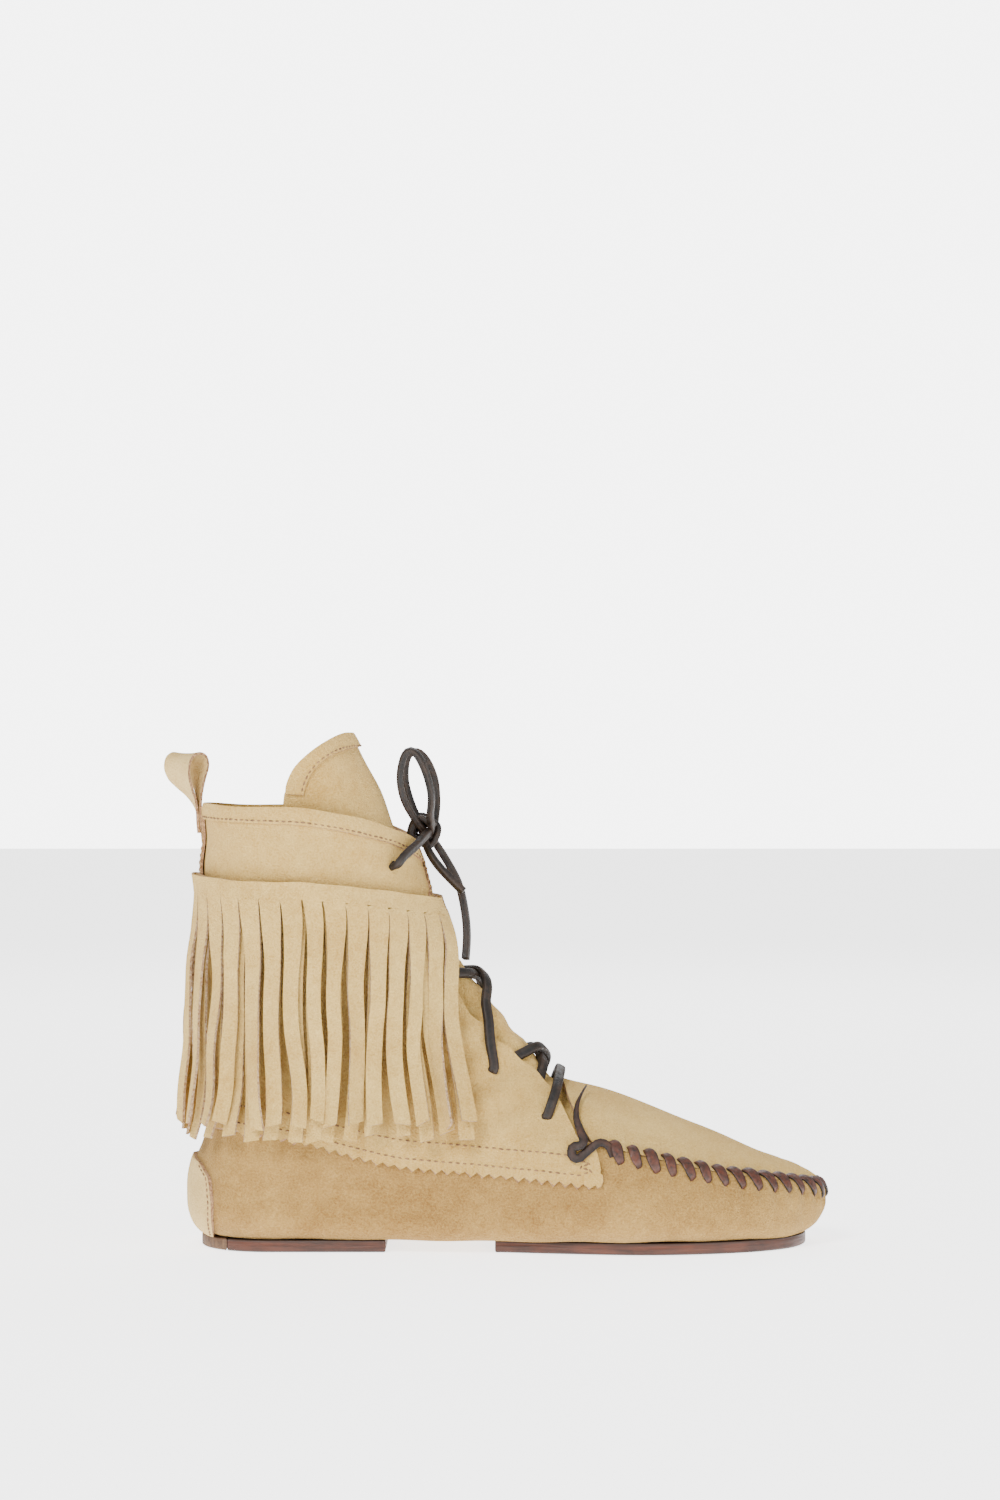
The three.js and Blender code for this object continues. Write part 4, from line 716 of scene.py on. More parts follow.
def beside_seam(length, up):
    """The place at a length along the seam and a distance above it."""
    s = np.interp(length, seam_lengths, whole_seam[:, 0])
    angle = np.interp(length, seam_lengths, whole_seam[:, 1])
    ahead = [np.interp(length + d, seam_lengths, whole_seam[:, k]) for d in (0.4, -0.4) for k in (0, 1)]
    along = unit(skin(ahead[0], ahead[1]) - skin(ahead[2], ahead[3]))
    for _ in range(4):
        by_s = (skin(s + 0.02, angle) - skin(s - 0.02, angle)) / 0.04
        by_a = (skin(s, angle + 0.02) - skin(s, angle - 0.02)) / 0.04
        upwards = unit(np.cross(np.cross(by_s, by_a), along))
        if upwards[2] < 0:
            upwards = -upwards
        step = upwards * up / 4
        aa, ab, bb = by_s @ by_s, by_s @ by_a, by_a @ by_a
        ra, rb = by_s @ step, by_a @ step
        s += (ra * bb - rb * ab) / (aa * bb - ab * ab)
        angle += (rb * aa - ra * ab) / (aa * bb - ab * ab)
    return s, angle


# One stitch, laid from the plug's slit along +X to the wrap's, with its pinched ends below Z = 0.
STITCH_SPAN = 10.2
STITCH_RINGS = 17
stitch_path, stitch_grow = [], []
for t in np.linspace(0, 1, STITCH_RINGS):
    stitch_path.append((STITCH_SPAN * (t - 0.5), 0.35 * math.sin(2 * math.pi * t),
                        -2.0 + 3.6 * math.sin(math.pi * t) ** 0.42))
    stitch_grow.append((0.55 + 0.45 * math.sin(math.pi * t) ** 0.7, 1.0))
stitch_model = strap("stitch_model", stitch_path, [(0, 1, 0)] * STITCH_RINGS,
                     strap_profile(4.6, 1.25), thong_material, stitch_grow)


def scatter_tree(name, model=None):
    """A node tree that lays a stitch at each point, along its run and facing out, in real meshes."""
    tree = bpy.data.node_groups.new(name, "GeometryNodeTree")
    face = tree.interface
    face.new_socket("Geometry", in_out="INPUT", socket_type="NodeSocketGeometry")
    for label, value in (("Length", 0.0026), ("Thickness", 0.0007), ("Unevenness", 0.1)):
        socket = face.new_socket(label, in_out="INPUT", socket_type="NodeSocketFloat")
        socket.default_value = value
    face.new_socket("Material", in_out="INPUT", socket_type="NodeSocketMaterial")
    face.new_socket("Geometry", in_out="OUTPUT", socket_type="NodeSocketGeometry")
    given, out = tree.nodes.new("NodeGroupInput"), tree.nodes.new("NodeGroupOutput")
    along = add(tree, "GeometryNodeInputNamedAttribute", {"data_type": "FLOAT_VECTOR"}, Name="along")
    outwards = add(tree, "GeometryNodeInputNamedAttribute", {"data_type": "FLOAT_VECTOR"}, Name="outwards")
    turned = add(tree, "FunctionNodeAlignRotationToVector", {"axis": "Z"}, Vector=outwards.outputs[0])
    turned = add(tree, "FunctionNodeAlignRotationToVector", {"axis": "X", "pivot_axis": "Z"},
                 Rotation=turned.outputs[0], Vector=along.outputs[0])
    if model is None:
        ball = add(tree, "GeometryNodeMeshUVSphere", n0=8, n1=5, n2=0.5)
        size = add(tree, "ShaderNodeCombineXYZ", X=given.outputs["Length"], Y=given.outputs["Thickness"],
                   Z=given.outputs["Thickness"])
        shape = add(tree, "GeometryNodeTransform", n0=ball.outputs[0])
        tree.links.new(size.outputs[0], shape.inputs["Scale"])
        shape = shape.outputs[0]
    else:
        shape = add(tree, "GeometryNodeObjectInfo", Object=model).outputs["Geometry"]
    low = maths(tree, "SUBTRACT", 1.0, given.outputs["Unevenness"])
    high = maths(tree, "ADD", 1.0, given.outputs["Unevenness"])
    vary = add(tree, "FunctionNodeRandomValue", {"data_type": "FLOAT"}, n2=low, n3=high, Seed=4)
    laid = add(tree, "GeometryNodeInstanceOnPoints", Points=given.outputs["Geometry"], Instance=shape,
               Rotation=turned.outputs[0], Scale=vary.outputs[1])
    real = add(tree, "GeometryNodeRealizeInstances", Geometry=laid.outputs[0])
    if model is None:
        real = add(tree, "GeometryNodeSetShadeSmooth", Geometry=real.outputs[0])
    dressed = add(tree, "GeometryNodeSetMaterial", Geometry=real.outputs[0],
                  Material=given.outputs["Material"])
    tree.links.new(dressed.outputs[0], out.inputs[0])
    return tree


def scattered(name, points, along, outwards, tree, material, sizes):
    """The stitches of one tree at points in millimetres, as one plain mesh."""
    mesh = bpy.data.meshes.new(name)
    mesh.from_pydata((np.asarray(points) * MM).tolist(), [], [])
    for label, values in (("along", along), ("outwards", outwards)):
        attribute = mesh.attributes.new(label, "FLOAT_VECTOR", "POINT")
        attribute.data.foreach_set("vector", np.asarray(values, np.float32).ravel())
    holder = bpy.data.objects.new(name + "_points", mesh)
    bpy.context.scene.collection.objects.link(holder)
    modifier = holder.modifiers.new("laid", "NODES")
    modifier.node_group = tree
    for item in tree.interface.items_tree:
        if item.item_type == "SOCKET" and item.in_out == "INPUT" and item.name in sizes:
            modifier[item.identifier] = sizes[item.name]
        if item.item_type == "SOCKET" and item.name == "Material":
            modifier[item.identifier] = material
    bpy.context.view_layer.update()
    graph = bpy.context.evaluated_depsgraph_get()
    made = bpy.data.meshes.new_from_object(holder.evaluated_get(graph), depsgraph=graph)
    bpy.data.objects.remove(holder)
    made.name = name
    piece = bpy.data.objects.new(name, made)
    bpy.context.scene.collection.objects.link(piece)
    return piece


random.seed(11)
whip_points, whip_along, whip_out = [], [], []
for i in range(STITCHES):
    at = start_length + i * stitch_pitch
    upper = on_boot(*beside_seam(at, ABOVE_SEAM), 0.6)
    lower = on_boot(*beside_seam(at + STITCH_LEAN, -BELOW_SEAM), 0.4)
    middle = beside_seam(at + STITCH_LEAN / 2, -0.4)
    out = facing_out(*middle)
    whip_points.append(on_boot(*middle, 0.35))
    whip_along.append(unit(lower - upper)
                      + np.array([random.uniform(-0.07, 0.07), 0, random.uniform(-0.07, 0.07)]))
    whip_out.append(out + 0.1 * np.array([random.uniform(-1, 1), 0, random.uniform(-1, 1)]))
whip = scattered("whip_stitches", whip_points, whip_along, whip_out,
                 scatter_tree("whip_stitching", stitch_model), thong_material, {"Unevenness": 0.06})
bpy.data.objects.remove(stitch_model)
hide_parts("whip_thong")
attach(whip, "boot")

TAIL_RINGS = 48
tail_line = [(129, 34.5, 0.4), (126.5, 38.2, 2.2), (123, 39.2, 2.8), (118.6, 36.4, 3.0),
             (114.8, 33.6, 3.2), (112.4, 34.8, 3.4), (112.6, 37.6, 4.2), (115.2, 37.8, 5.0),
             (116.8, 39.6, 4.6), (115.6, 43.4, 3.6), (114.2, 47.6, 3.0), (114.6, 51.8, 2.8),
             (116.4, 55.2, 3.2), (118.4, 57.8, 3.8)]
tail_places = [(*[float(v) for v in place(x, z)], d) for x, z, d in tail_line]
tail_path = rounded([on_boot(s, -a, d) for s, a, d in tail_places], TAIL_RINGS)
tail_out = np.array([facing_out(s, -a) for s, a, _ in tail_places])
tail_share = np.linspace(0, 1, TAIL_RINGS)
tail_across = np.cross(np.gradient(tail_path, axis=0),
                       read_at(tail_share, np.linspace(0, 1, len(tail_out)), tail_out))
taper = [(0.85 - 0.72 * smoothstep(t, 0.45, 1.0) + 0.2 * math.sin(t * math.pi), 1) for t in tail_share]
start_tail = strap("whip_start_tail", tail_path, tail_across, strap_profile(3.6, 1.2),
                   lace_leather("thong_tail", tone(70, 44, 31), tone(20, 13, 10), 3), taper)
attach(start_tail, "boot")

# ---- Quarters, patch, bands and tongue -------------------------------------------------------
# Two quarters make the shaft. Each has a pinked lower edge, a raw laced edge, and a folded band
# along its collar. A patch covers the heel, a backstay the back seam, and a banded tongue lies
# inside the lacing.
COLLAR = smooth_line([(-60, 176.5), (-36, 175.5), (-20, 174), (3, 173.5), (16.4, 171.1), (28.9, 168.2),
                      (37, 165), (44.7, 161.4), (48.6, 157.2), (52.3, 151.5), (55.3, 145.5),
                      (57.5, 138)], 120)
FACING = smooth_line([(124, 30), (121.5, 38.5), (115, 42), (112.5, 46.6), (106.5, 55.6), (96, 66.8),
                      (79, 81), (68.4, 93), (63.6, 104), (60.4, 115), (58.2, 125), (57.2, 133)],
                     120)
BAND_SEAM = smooth_line([(-60, 170), (-36, 169), (-29, 168.3), (-12.4, 167.4), (4.2, 166.6), (16.4, 164.6),
                         (28.9, 161.4), (37.8, 158.9), (45.5, 154.5), (49.6, 150.4), (52.3, 143.9),
                         (53, 137.9), (54, 127), (56.6, 116)], 140)
FACING_GAP = 12
TOOTH, TOOTH_DEPTH, TOOTH_STEPS = 4.8, 2.3, 6
HEM_BACK = -34.4
PINKED_FROM = -20


def off_crown(s, angle):
    """The angle, kept clear of the open front."""
    half = section(s)[..., 4]
    limit = np.arcsin(np.clip((FACING_GAP / 2) / half, 0, 1))
    return np.maximum(angle, np.where(s > 8, limit, 0))


def placed(line):
    s, angle = place(line[:, 0], line[:, 1])
    return s, off_crown(s, angle)


teeth = round((123.5 - HEM_BACK) / TOOTH)
tooth_x = np.linspace(HEM_BACK, 121.8, teeth * TOOTH_STEPS + 1)
saw = 1 - np.abs((np.arange(len(tooth_x)) % TOOTH_STEPS) / (TOOTH_STEPS / 2) - 1)
random.seed(3)
uneven = np.repeat([random.uniform(0.75, 1.15) for _ in range(teeth + 1)], TOOTH_STEPS)[:len(tooth_x)]
bite = TOOTH_DEPTH * saw * uneven * (tooth_x > PINKED_FROM)
tooth_line = np.stack([tooth_x, height_on(HEM, tooth_x) - bite], 1)
hem_line = np.stack([tooth_x, height_on(HEM, tooth_x) + 1.2], 1)
tab = np.array([(122.8, 22.3), (124.4, 23.2), (125.2, 25.2), (125.0, 27.6)])
tooth_line = np.concatenate([tooth_line, tab])
hem_line = np.concatenate([hem_line, tab + np.array([(-0.6, 2.2), (-1.2, 1.8), (-1.4, 1.4), (-1.6, 1.0)])])
columns = len(tooth_line)
corner = int(columns * 0.56)
collar_run = spaced(COLLAR[COLLAR[:, 0] > HEM_BACK - 1.2], corner)
facing_run = spaced(FACING[::-1], columns - corner + 1)[1:]
top_line = np.concatenate([collar_run, facing_run])
tooth_s, tooth_angle = place(tooth_line[:, 0], tooth_line[:, 1])
base_s, base_angle = place(hem_line[:, 0], hem_line[:, 1])
crest_s, crest_angle = placed(top_line)
for angles in (tooth_angle, base_angle, crest_angle):
    angles[0] = np.pi - 0.002
QUARTER_ROWS = 74
up = np.linspace(0, 1, QUARTER_ROWS)[:, None]
quarter_s = np.concatenate([tooth_s[None], base_s + (crest_s - base_s) * up])
quarter_angle = np.concatenate([tooth_angle[None], base_angle + (crest_angle - base_angle) * up])
raw_curl = 0.5 * np.concatenate([[0], np.linspace(0, 1, QUARTER_ROWS) ** 14])[:, None]
SKIVE = 1.1
column_length = np.linalg.norm(skin(crest_s, crest_angle) - skin(base_s, base_angle), axis=1)
kept = 1 - SKIVE / np.maximum(column_length, 3 * SKIVE) * (np.arange(columns) > corner - 2)
face_s = np.concatenate([(tooth_s + (base_s - tooth_s) * 0.3)[None],
                         base_s + (crest_s - base_s) * up * kept])
face_angle = np.concatenate([(tooth_angle + (base_angle - tooth_angle) * 0.3)[None],
                             base_angle + (crest_angle - base_angle) * up * kept])
for side_name, sign in (("lateral", -1), ("medial", 1)):
    quarter = sheet_between(f"quarter_panel_{side_name}", quarter_s, sign * quarter_angle, GAP,
                            GAP + SUEDE, shaft_suede, raw_curl, (face_s, sign * face_angle))
    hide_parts(f"quarter_{side_name}")
    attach(quarter, "boot")

BAND_IN = GAP + SUEDE + 0.1
BAND_OUT = BAND_IN + TRIM
BAND_END = 114.5
band_low = spaced(BAND_SEAM[BAND_SEAM[:, 0] > HEM_BACK + 0.4], 150)
band_top_line = np.concatenate([COLLAR[COLLAR[:, 0] > HEM_BACK - 0.6], FACING[::-1]])
band_top_line = band_top_line[band_top_line[:, 1] > BAND_END]
band_high = spaced(band_top_line, 150)
low_s, low_angle = placed(band_low)
high_s, high_angle = placed(band_high)
low_angle = np.maximum(low_angle, high_angle)
reach = np.linspace(0, 1, 9)[:, None]
band_s, band_angle = low_s + (high_s - low_s) * reach, low_angle + (high_angle - low_angle) * reach
fold = 0.35 * np.sin(np.pi * reach)
BACKSTAY_HALF, COLLAR_HALF, SHAFT_HALF = 4.6, 36, 34
back_limit = np.pi - BACKSTAY_HALF / COLLAR_HALF
for side_name, sign in (("lateral", -1), ("medial", 1)):
    band = sheet_between(f"collar_fold_{side_name}", band_s, sign * np.minimum(band_angle, back_limit),
                         BAND_IN, BAND_OUT, shaft_suede, fold)
    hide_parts(f"collar_band_{side_name}")
    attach(band, "boot")

stay_height = np.linspace(SOLE + 56, SOLE + 173.5, 70)
stay_share = np.linspace(-1, 1, 11)
stay_turn = np.pi + stay_share * BACKSTAY_HALF / SHAFT_HALF
stay_grid = np.meshgrid(stay_height, stay_turn, indexing="ij")
backstay = sheet_between("backstay_strip", section_at(stay_grid[0], stay_grid[1]), stay_grid[1], BAND_IN,
                         BAND_OUT, shaft_suede, 0.3 * np.cos(stay_share * 1.5)[None, :])
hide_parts("backstay")
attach(backstay, "boot")

patch_height = SOLE + 1.2 + 30.4 * np.linspace(0, 1, 34)
patch_edge = np.array([np.interp(z - SOLE, [0, 15, 25, 29.8, 31, 31.6], [-31.5, -31, -32.5, -36, -38.5, -41])
                       for z in patch_height])
edge_angle = place(patch_edge, patch_height - SOLE)[1]
patch_turn = edge_angle[:, None] + (2 * np.pi - 2 * edge_angle[:, None]) * np.linspace(0, 1, 56)[None, :]
patch_s = section_at(patch_height[:, None], patch_turn)
patch = sheet_between("heel_cover", patch_s, patch_turn, 0.15, 1.7, pale_suede)
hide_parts("heel_patch")
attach(patch, "boot")

TONGUE_SIDE = smooth_line([(7, 195.4), (1.4, 189.7), (-1.8, 181.5), (-2.6, 172), (6, 140), (30, 108),
                           (62, 74), (88, 50)], 90)
TONGUE_CORNER = (7, 195.4)
TOP_ARC = [(25.8, 198.4), (24.6, 202.0), (22.4, 203.6), (19, 203.3), (13.4, 200.2), TONGUE_CORNER]
TONGUE_TOP = smooth_line(TOP_ARC, 31)
side_s, side_angle = place(TONGUE_SIDE[1:, 0], TONGUE_SIDE[1:, 1], TONGUE_LOW)
order = np.argsort(side_s)
side_s, side_angle = side_s[order], side_angle[order]
facing_s, facing_turn = place(FACING[:, 0], FACING[:, 1])
order = np.argsort(facing_s)
facing_s, facing_turn = facing_s[order], facing_turn[order]
UNDERLAP = 0.16
corner_s = float(place(*TONGUE_CORNER, TONGUE_LOW)[0])
level_s = np.linspace(6.5, corner_s, 96)
half_turn = np.interp(level_s, side_s, side_angle)
behind_facing = np.interp(level_s, facing_s, facing_turn) + UNDERLAP
half_turn = np.where(level_s < 12, np.maximum(half_turn, behind_facing), half_turn)
TONGUE_ACROSS = 61
share = np.linspace(-1, 1, TONGUE_ACROSS)
low_rows_s = np.repeat(level_s[:, None], TONGUE_ACROSS, 1)
low_rows_turn = half_turn[:, None] * share[None, :]
top_s, top_turn = place(TONGUE_TOP[:, 0], TONGUE_TOP[:, 1], TONGUE_LOW)
top_turn[0] = 0
edge_at = np.linspace(0, 1, len(TONGUE_TOP))
rim_s = np.interp(np.abs(share), edge_at, top_s)
rim_turn = np.sign(share) * np.interp(np.abs(share), edge_at, top_turn)
rise = np.linspace(0, 1, 15)[1:, None]
level = np.concatenate([low_rows_s, low_rows_s[-1] + (rim_s - low_rows_s[-1]) * rise])
tongue_turn = np.concatenate([low_rows_turn, low_rows_turn[-1] + (rim_turn - low_rows_turn[-1]) * rise])
depth = tongue_depth(level, tongue_turn)
tongue = sheet_between("tongue_leaf", level, tongue_turn, depth - SUEDE, depth, shaft_suede)
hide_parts("tongue")
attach(tongue, "tongue")

fold_outer = smooth_line(TOP_ARC + [(1.4, 189.7), (-1.5, 183.5), (-2.0, 179)], 80)
fold_inner = smooth_line([(26.0, 198.0), (23.6, 197.7), (20.6, 196.8), (17.4, 195.5), (14.0, 193.4),
                          (10.6, 190.4), (7.8, 186.6), (6.0, 182.4), (5.2, 178.8)], 80)
inner_share = np.linspace(0, 1, 9)[:, None, None]
fold_grid = fold_outer[None] + (fold_inner - fold_outer)[None] * inner_share
fold_s, fold_turn = place(fold_grid[..., 0], fold_grid[..., 1], TONGUE_LOW)
fold_turn[:, 0] = 0
fold_depth = tongue_depth(fold_s, fold_turn)
fold_swell = 0.3 * np.sin(np.pi * inner_share[..., 0])
for sign, label in ((-1, "lateral"), (1, "medial")):
    edge_fold = sheet_between(f"tongue_fold_{label}", fold_s, sign * fold_turn, fold_depth + 0.05,
                              fold_depth + 0.05 + TRIM, shaft_suede, fold_swell)
    if sign < 0:
        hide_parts("tongue_band")
    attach(edge_fold, "tongue")

# ---- Fringe ----------------------------------------------------------------------------------
# Two layers of suede go round the shaft, each cut into hanging strands below an uncut header.
# Each strand has its own sway, twist and slanted tip. The strands are built in groups, one mesh for each
# group and layer.
FRINGE_HEADER, FRINGE_FALL, INNER_DROP = 7.0, 99.0, 5.5
FRINGE_ROOT = smooth_line([(-60, 147.5), (-38, 146.8), (-20.5, 144.8), (4.2, 144), (28.9, 141.5),
                           (53.7, 136.7), (66, 134)], 60) - np.array([0, FRINGE_HEADER])
EDGE_TOP, EDGE_TIP = np.array([56, 137 + SOLE]), np.array([69.5, 40 + SOLE])
STRANDS = 32
EDGE_STOPS = 12
EDGE_SECTION = 20
crown_angle = math.asin((FACING_GAP / 2 + GAP) / SECTIONS[EDGE_SECTION][4])
edge_arcs = []
for i in range(EDGE_STOPS + 1):
    x, z = EDGE_TIP + (EDGE_TOP - EDGE_TIP) * i / EDGE_STOPS
    first = max(float(place(x, z - SOLE)[1]), crown_angle)
    turn = np.linspace(first, np.pi, 40)
    ring = skin(section_at(z, turn), turn)
    length = length_along(ring)
    edge_arcs.append((turn, length / length[-1]))
arc_turns = np.array([a[0] for a in edge_arcs])
arc_shares = np.array([a[1] for a in edge_arcs])


def round_angle(around, height):
    """The angle at a height of a fraction round the fringe, -1 to 1 from front to front."""
    around, height = np.broadcast_arrays(np.asarray(around, float), np.asarray(height, float))
    step = np.clip((height - EDGE_TIP[1]) / (EDGE_TOP[1] - EDGE_TIP[1]), 0, 1) * EDGE_STOPS
    i = np.minimum(step.astype(int), EDGE_STOPS - 1)
    shares = 1 - np.abs(around)
    table = np.array([np.interp(shares.ravel(), arc_shares[k], arc_turns[k]) for k in range(EDGE_STOPS + 1)])
    flat, index = i.ravel(), np.arange(i.size)
    low, high = table[flat, index], table[flat + 1, index]
    angle = (low + (high - low) * (step - i).ravel()).reshape(shares.shape)
    return np.where(around < 0, -angle, angle)


def root_height(around):
    angle = round_angle(around, EDGE_TOP[1])
    x = skin(section_at(EDGE_TOP[1], angle), angle)[..., 0]
    return SOLE + height_on(FRINGE_ROOT, x) - GAP


TIP_HEIGHT = float(root_height(0.0)) + FRINGE_HEADER - FRINGE_FALL


def hanging(around, fall, offset, flare):
    """A place down a strand: fall is 0 at its root and 1 at an outer strand's tip.

    Near its root the strand follows the shaft's surface, and below that it stands off level.
    """
    around, fall = np.broadcast_arrays(np.asarray(around, float), np.asarray(fall, float))
    root = root_height(around)
    height = root + (TIP_HEIGHT - root) * fall
    angle = round_angle(around, height)
    front = smoothstep(np.abs(around), 0.65, 0.95) * smoothstep(fall, 0.03, 0.25)
    stand = offset + flare * np.maximum(fall, 0) + 2.4 * front
    s = section_at(height, angle, offset)
    high = skin(s, angle, stand + ripple(skin(s, angle)))
    s = section_at(height, angle)
    base = skin(s, angle)
    level_out = unit(facing_out(s, angle) * np.array([1, 1, 0]))
    stand = stand + ripple(base) * (1 - 0.5 * smoothstep(fall, 0, 0.5))
    low = base + level_out * stand[..., None]
    return high + (low - high) * smoothstep(fall, 0.03, 0.3)[..., None]


# The strands' dark edge brown is partly painted shade, for the shadowed gaps between strands.
fringe_suede = suede("fringe_suede", tone(230, 199, 124), tone(184, 144, 74), tone(208, 180, 142),
                     tone(140, 102, 66))
INNER_IN = BAND_OUT + GAP + 0.1
OUTER_IN = INNER_IN + TRIM + 3 * GAP
STRAND_FALL = FRINGE_FALL - FRINGE_HEADER
layers = {"inner": (INNER_IN, 4.0, 1 + INNER_DROP / STRAND_FALL), "outer": (OUTER_IN, 5.5, 1.0)}
for layer_name, (inside_at, flare, longest) in layers.items():
    around = np.linspace(-1, 1, STRANDS * 8 + 1)
    wave = 0.5 * np.sin(around * 21 + (2 if layer_name == "inner" else 0)) + 0.3 * np.sin(around * 47)
    levels = np.linspace(0, 1, 9)[:, None]
    height = root_height(around)[None, :] + GAP + levels * (FRINGE_HEADER + 0.35 * wave[None, :])
    angle = np.repeat(round_angle(around, EDGE_TOP[1])[None, :], 9, 0)
    s = section_at(height, angle, inside_at)
    header = sheet_between(f"fringe_header_{layer_name}", s, angle, inside_at, inside_at + TRIM + 0.04,
                           fringe_suede, 0.25 * (levels - 0.5) ** 2, uncut=("first",))
    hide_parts(f"{layer_name}_fringe_header")
    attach(header, "boot")

GROUPS = {"lateral_front": 5, "lateral_middle": 4, "lateral_rear": 4, "back": 6, "medial_rear": 4,
          "medial_middle": 4, "medial_front": 5}
STRAND_RINGS = 36
FRONT_SPLAY = 3.9
TUCK = np.array([-1.4, -0.3, 0.1, 1.0]) / STRAND_FALL
BESIDE = 0.004
SHAFT_AXIS_X = 8
random.seed(27)
counted = 0
for group, count in GROUPS.items():
    for layer_name, (inside_at, flare, longest) in layers.items():
        points, faces, cut = [], [], []
        outer_layer = layer_name == "outer"
        for i in range(counted, counted + count):
            pitch = 2 / STRANDS
            middle = -1 + (i + 0.5) * pitch + (0 if outer_layer else random.uniform(-0.15, 0.15) * pitch)
            sway = random.uniform(-1.5, 1.5)
            lean = random.uniform(-1.6, 1.6)
            phase = random.uniform(0, 2 * math.pi)
            waves = random.uniform(0.7, 1.5)
            twist = random.gauss(0, 0.30) + (random.choice((-1, 1)) * 0.45 if random.random() < 0.22 else 0)
            width = random.uniform(5.4, 6.5)
            bow_out = random.uniform(-0.3, 1.5)
            reach = longest + random.uniform(-0.022, 0.018)
            slant = random.uniform(-1.1, 1.1)
            cup = random.uniform(-0.35, 0.45)
            fall = np.concatenate([TUCK, np.linspace(0.03, reach, STRAND_RINGS - len(TUCK))])
            line = hanging(middle, fall, inside_at + TRIM / 2, flare)
            near = hanging(middle + BESIDE, fall, inside_at + TRIM / 2, flare)
            far = hanging(middle - BESIDE, fall, inside_at + TRIM / 2, flare)
            wide = near - far
            for _ in range(6):
                line[3:-1] = (line[2:-2] + 2 * line[3:-1] + line[4:]) / 4
                wide[3:-1] = (wide[2:-2] + 2 * wide[3:-1] + wide[4:]) / 4
            wide, down = unit(wide), unit(np.gradient(line, axis=0))
            wide = unit(wide - down * np.sum(wide * down, axis=1, keepdims=True))
            deep = np.cross(down, wide)
            deep *= np.sign(deep[0] @ (line[0] - [SHAFT_AXIS_X, 0, line[0][2]]))
            held = smoothstep(fall, 0.0, 0.35)
            move = (sway * np.sin(2 * math.pi * waves * fall + phase) - sway * math.sin(phase)) * 0.55
            splay = FRONT_SPLAY * smoothstep(abs(middle), 0.7, 0.98) * np.sign(middle)
            move = move * held + lean * fall ** 2 + splay * smoothstep(fall, 0.02, 1.3) * 2
            outwards = (bow_out * np.sin(math.pi * np.clip(fall, 0, 1)) * 0.8
                        + 0.5 * np.sin(2 * math.pi * waves * 1.3 * fall + phase * 1.7)) * held
            if outer_layer:
                outwards = outwards + random.uniform(0, 2.0) * fall ** 2
            line = line + wide * move[:, None] + deep * np.clip(outwards, -0.4, 4)[:, None]
            roll = twist * smoothstep(fall, 0.05, 1.0)
            across = wide * np.cos(roll)[:, None] + deep * np.sin(roll)[:, None]
            through = -wide * np.sin(roll)[:, None] + deep * np.cos(roll)[:, None]
            pitch_width = np.linalg.norm(near[0] - far[0]) / (2 * BESIDE) * pitch
            slit_width = np.where(fall < 0.002, pitch_width, pitch_width * 0.95)
            half = (slit_width + (width - slit_width) * smoothstep(fall, 0.02, 0.35)) / 2
            held_in = 0.9 + 0.1 * smoothstep(fall, -0.004, 0.002)
            start = len(points)
            for r in range(STRAND_RINGS):
                end_slant = slant * smoothstep(r / (STRAND_RINGS - 1), 0.93, 1.0)
                hollow = cup * smoothstep(fall[r], 0.1, 0.8)
                for c, d in ((-1, 1), (0, 1), (1, 1), (1, -1), (0, -1), (-1, -1)):
                    bend = -hollow * abs(c) + hollow * 0.5
                    thick = TRIM / 2 * (0.92 if c else 1.0) * held_in[r]
                    points.append(line[r] + across[r] * c * half[r] + through[r] * (d * thick + bend)
                                  + down[r] * end_slant * c)
            for r in range(STRAND_RINGS - 1):
                for k in range(6):
                    a, b = start + r * 6 + k, start + r * 6 + (k + 1) % 6
                    faces.append((a, b, b + 6, a + 6))
                    cut.append(1 if k in (2, 5) else 0)
            tip = start + (STRAND_RINGS - 1) * 6
            faces += [(tip, tip + 1, tip + 4, tip + 5), (tip + 1, tip + 2, tip + 3, tip + 4),
                      (start, start + 5, start + 4, start + 1), (start + 1, start + 4, start + 3, start + 2)]
            cut += [1, 1, 1, 1]
        strands = finished(f"strands_{layer_name}_{group}", points, faces, fringe_suede, cut, None, 35, 0)
        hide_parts(f"{layer_name}_fringe_{group}")
        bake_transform(strands)
    counted += count

# ---- Thread ----------------------------------------------------------------------------------
# Waxed thread, sewn by machine: two rows along the quarters' lower edge, a zigzag bar at their
# front ends, and single rows along the bands, the backstay, the heel patch and the tongue.
thread_material, tree, shader = start_material("thread")
where = add(tree, "ShaderNodeTexCoord").outputs["Object"]
fleck = ranged(tree, noise(tree, where, 800, 2, 0.6), 0.35, 0.65)
tree.links.new(mixed(tree, fleck, tone(150, 116, 76), tone(96, 68, 42)), shader.inputs["Base Color"])
shader.inputs["Roughness"].default_value = 0.75
STITCH_LONG = 2.9
thread_tree = scatter_tree("thread_stitching")
rows = {"boot": [], "tongue": []}


def sew(body, s, angle, offset, gap=STITCH_LONG, wander=0.12):
    """A row of stitches along a line of places, evenly spaced."""
    line = on_boot(s, angle, offset)
    out = facing_out(s, angle)
    length = length_along(line)
    at = np.arange(gap / 2, length[-1], gap)
    places, normals = read_at(at, length, line), read_at(at, length, out)
    run = unit(read_at(at + 0.3, length, line) - read_at(at - 0.3, length, line))
    for p, r, n in zip(places, run, normals):
        jitter = np.array([random.uniform(-wander, wander) for _ in range(3)])
        rows[body].append((p + jitter * 0.5, r + jitter, n))


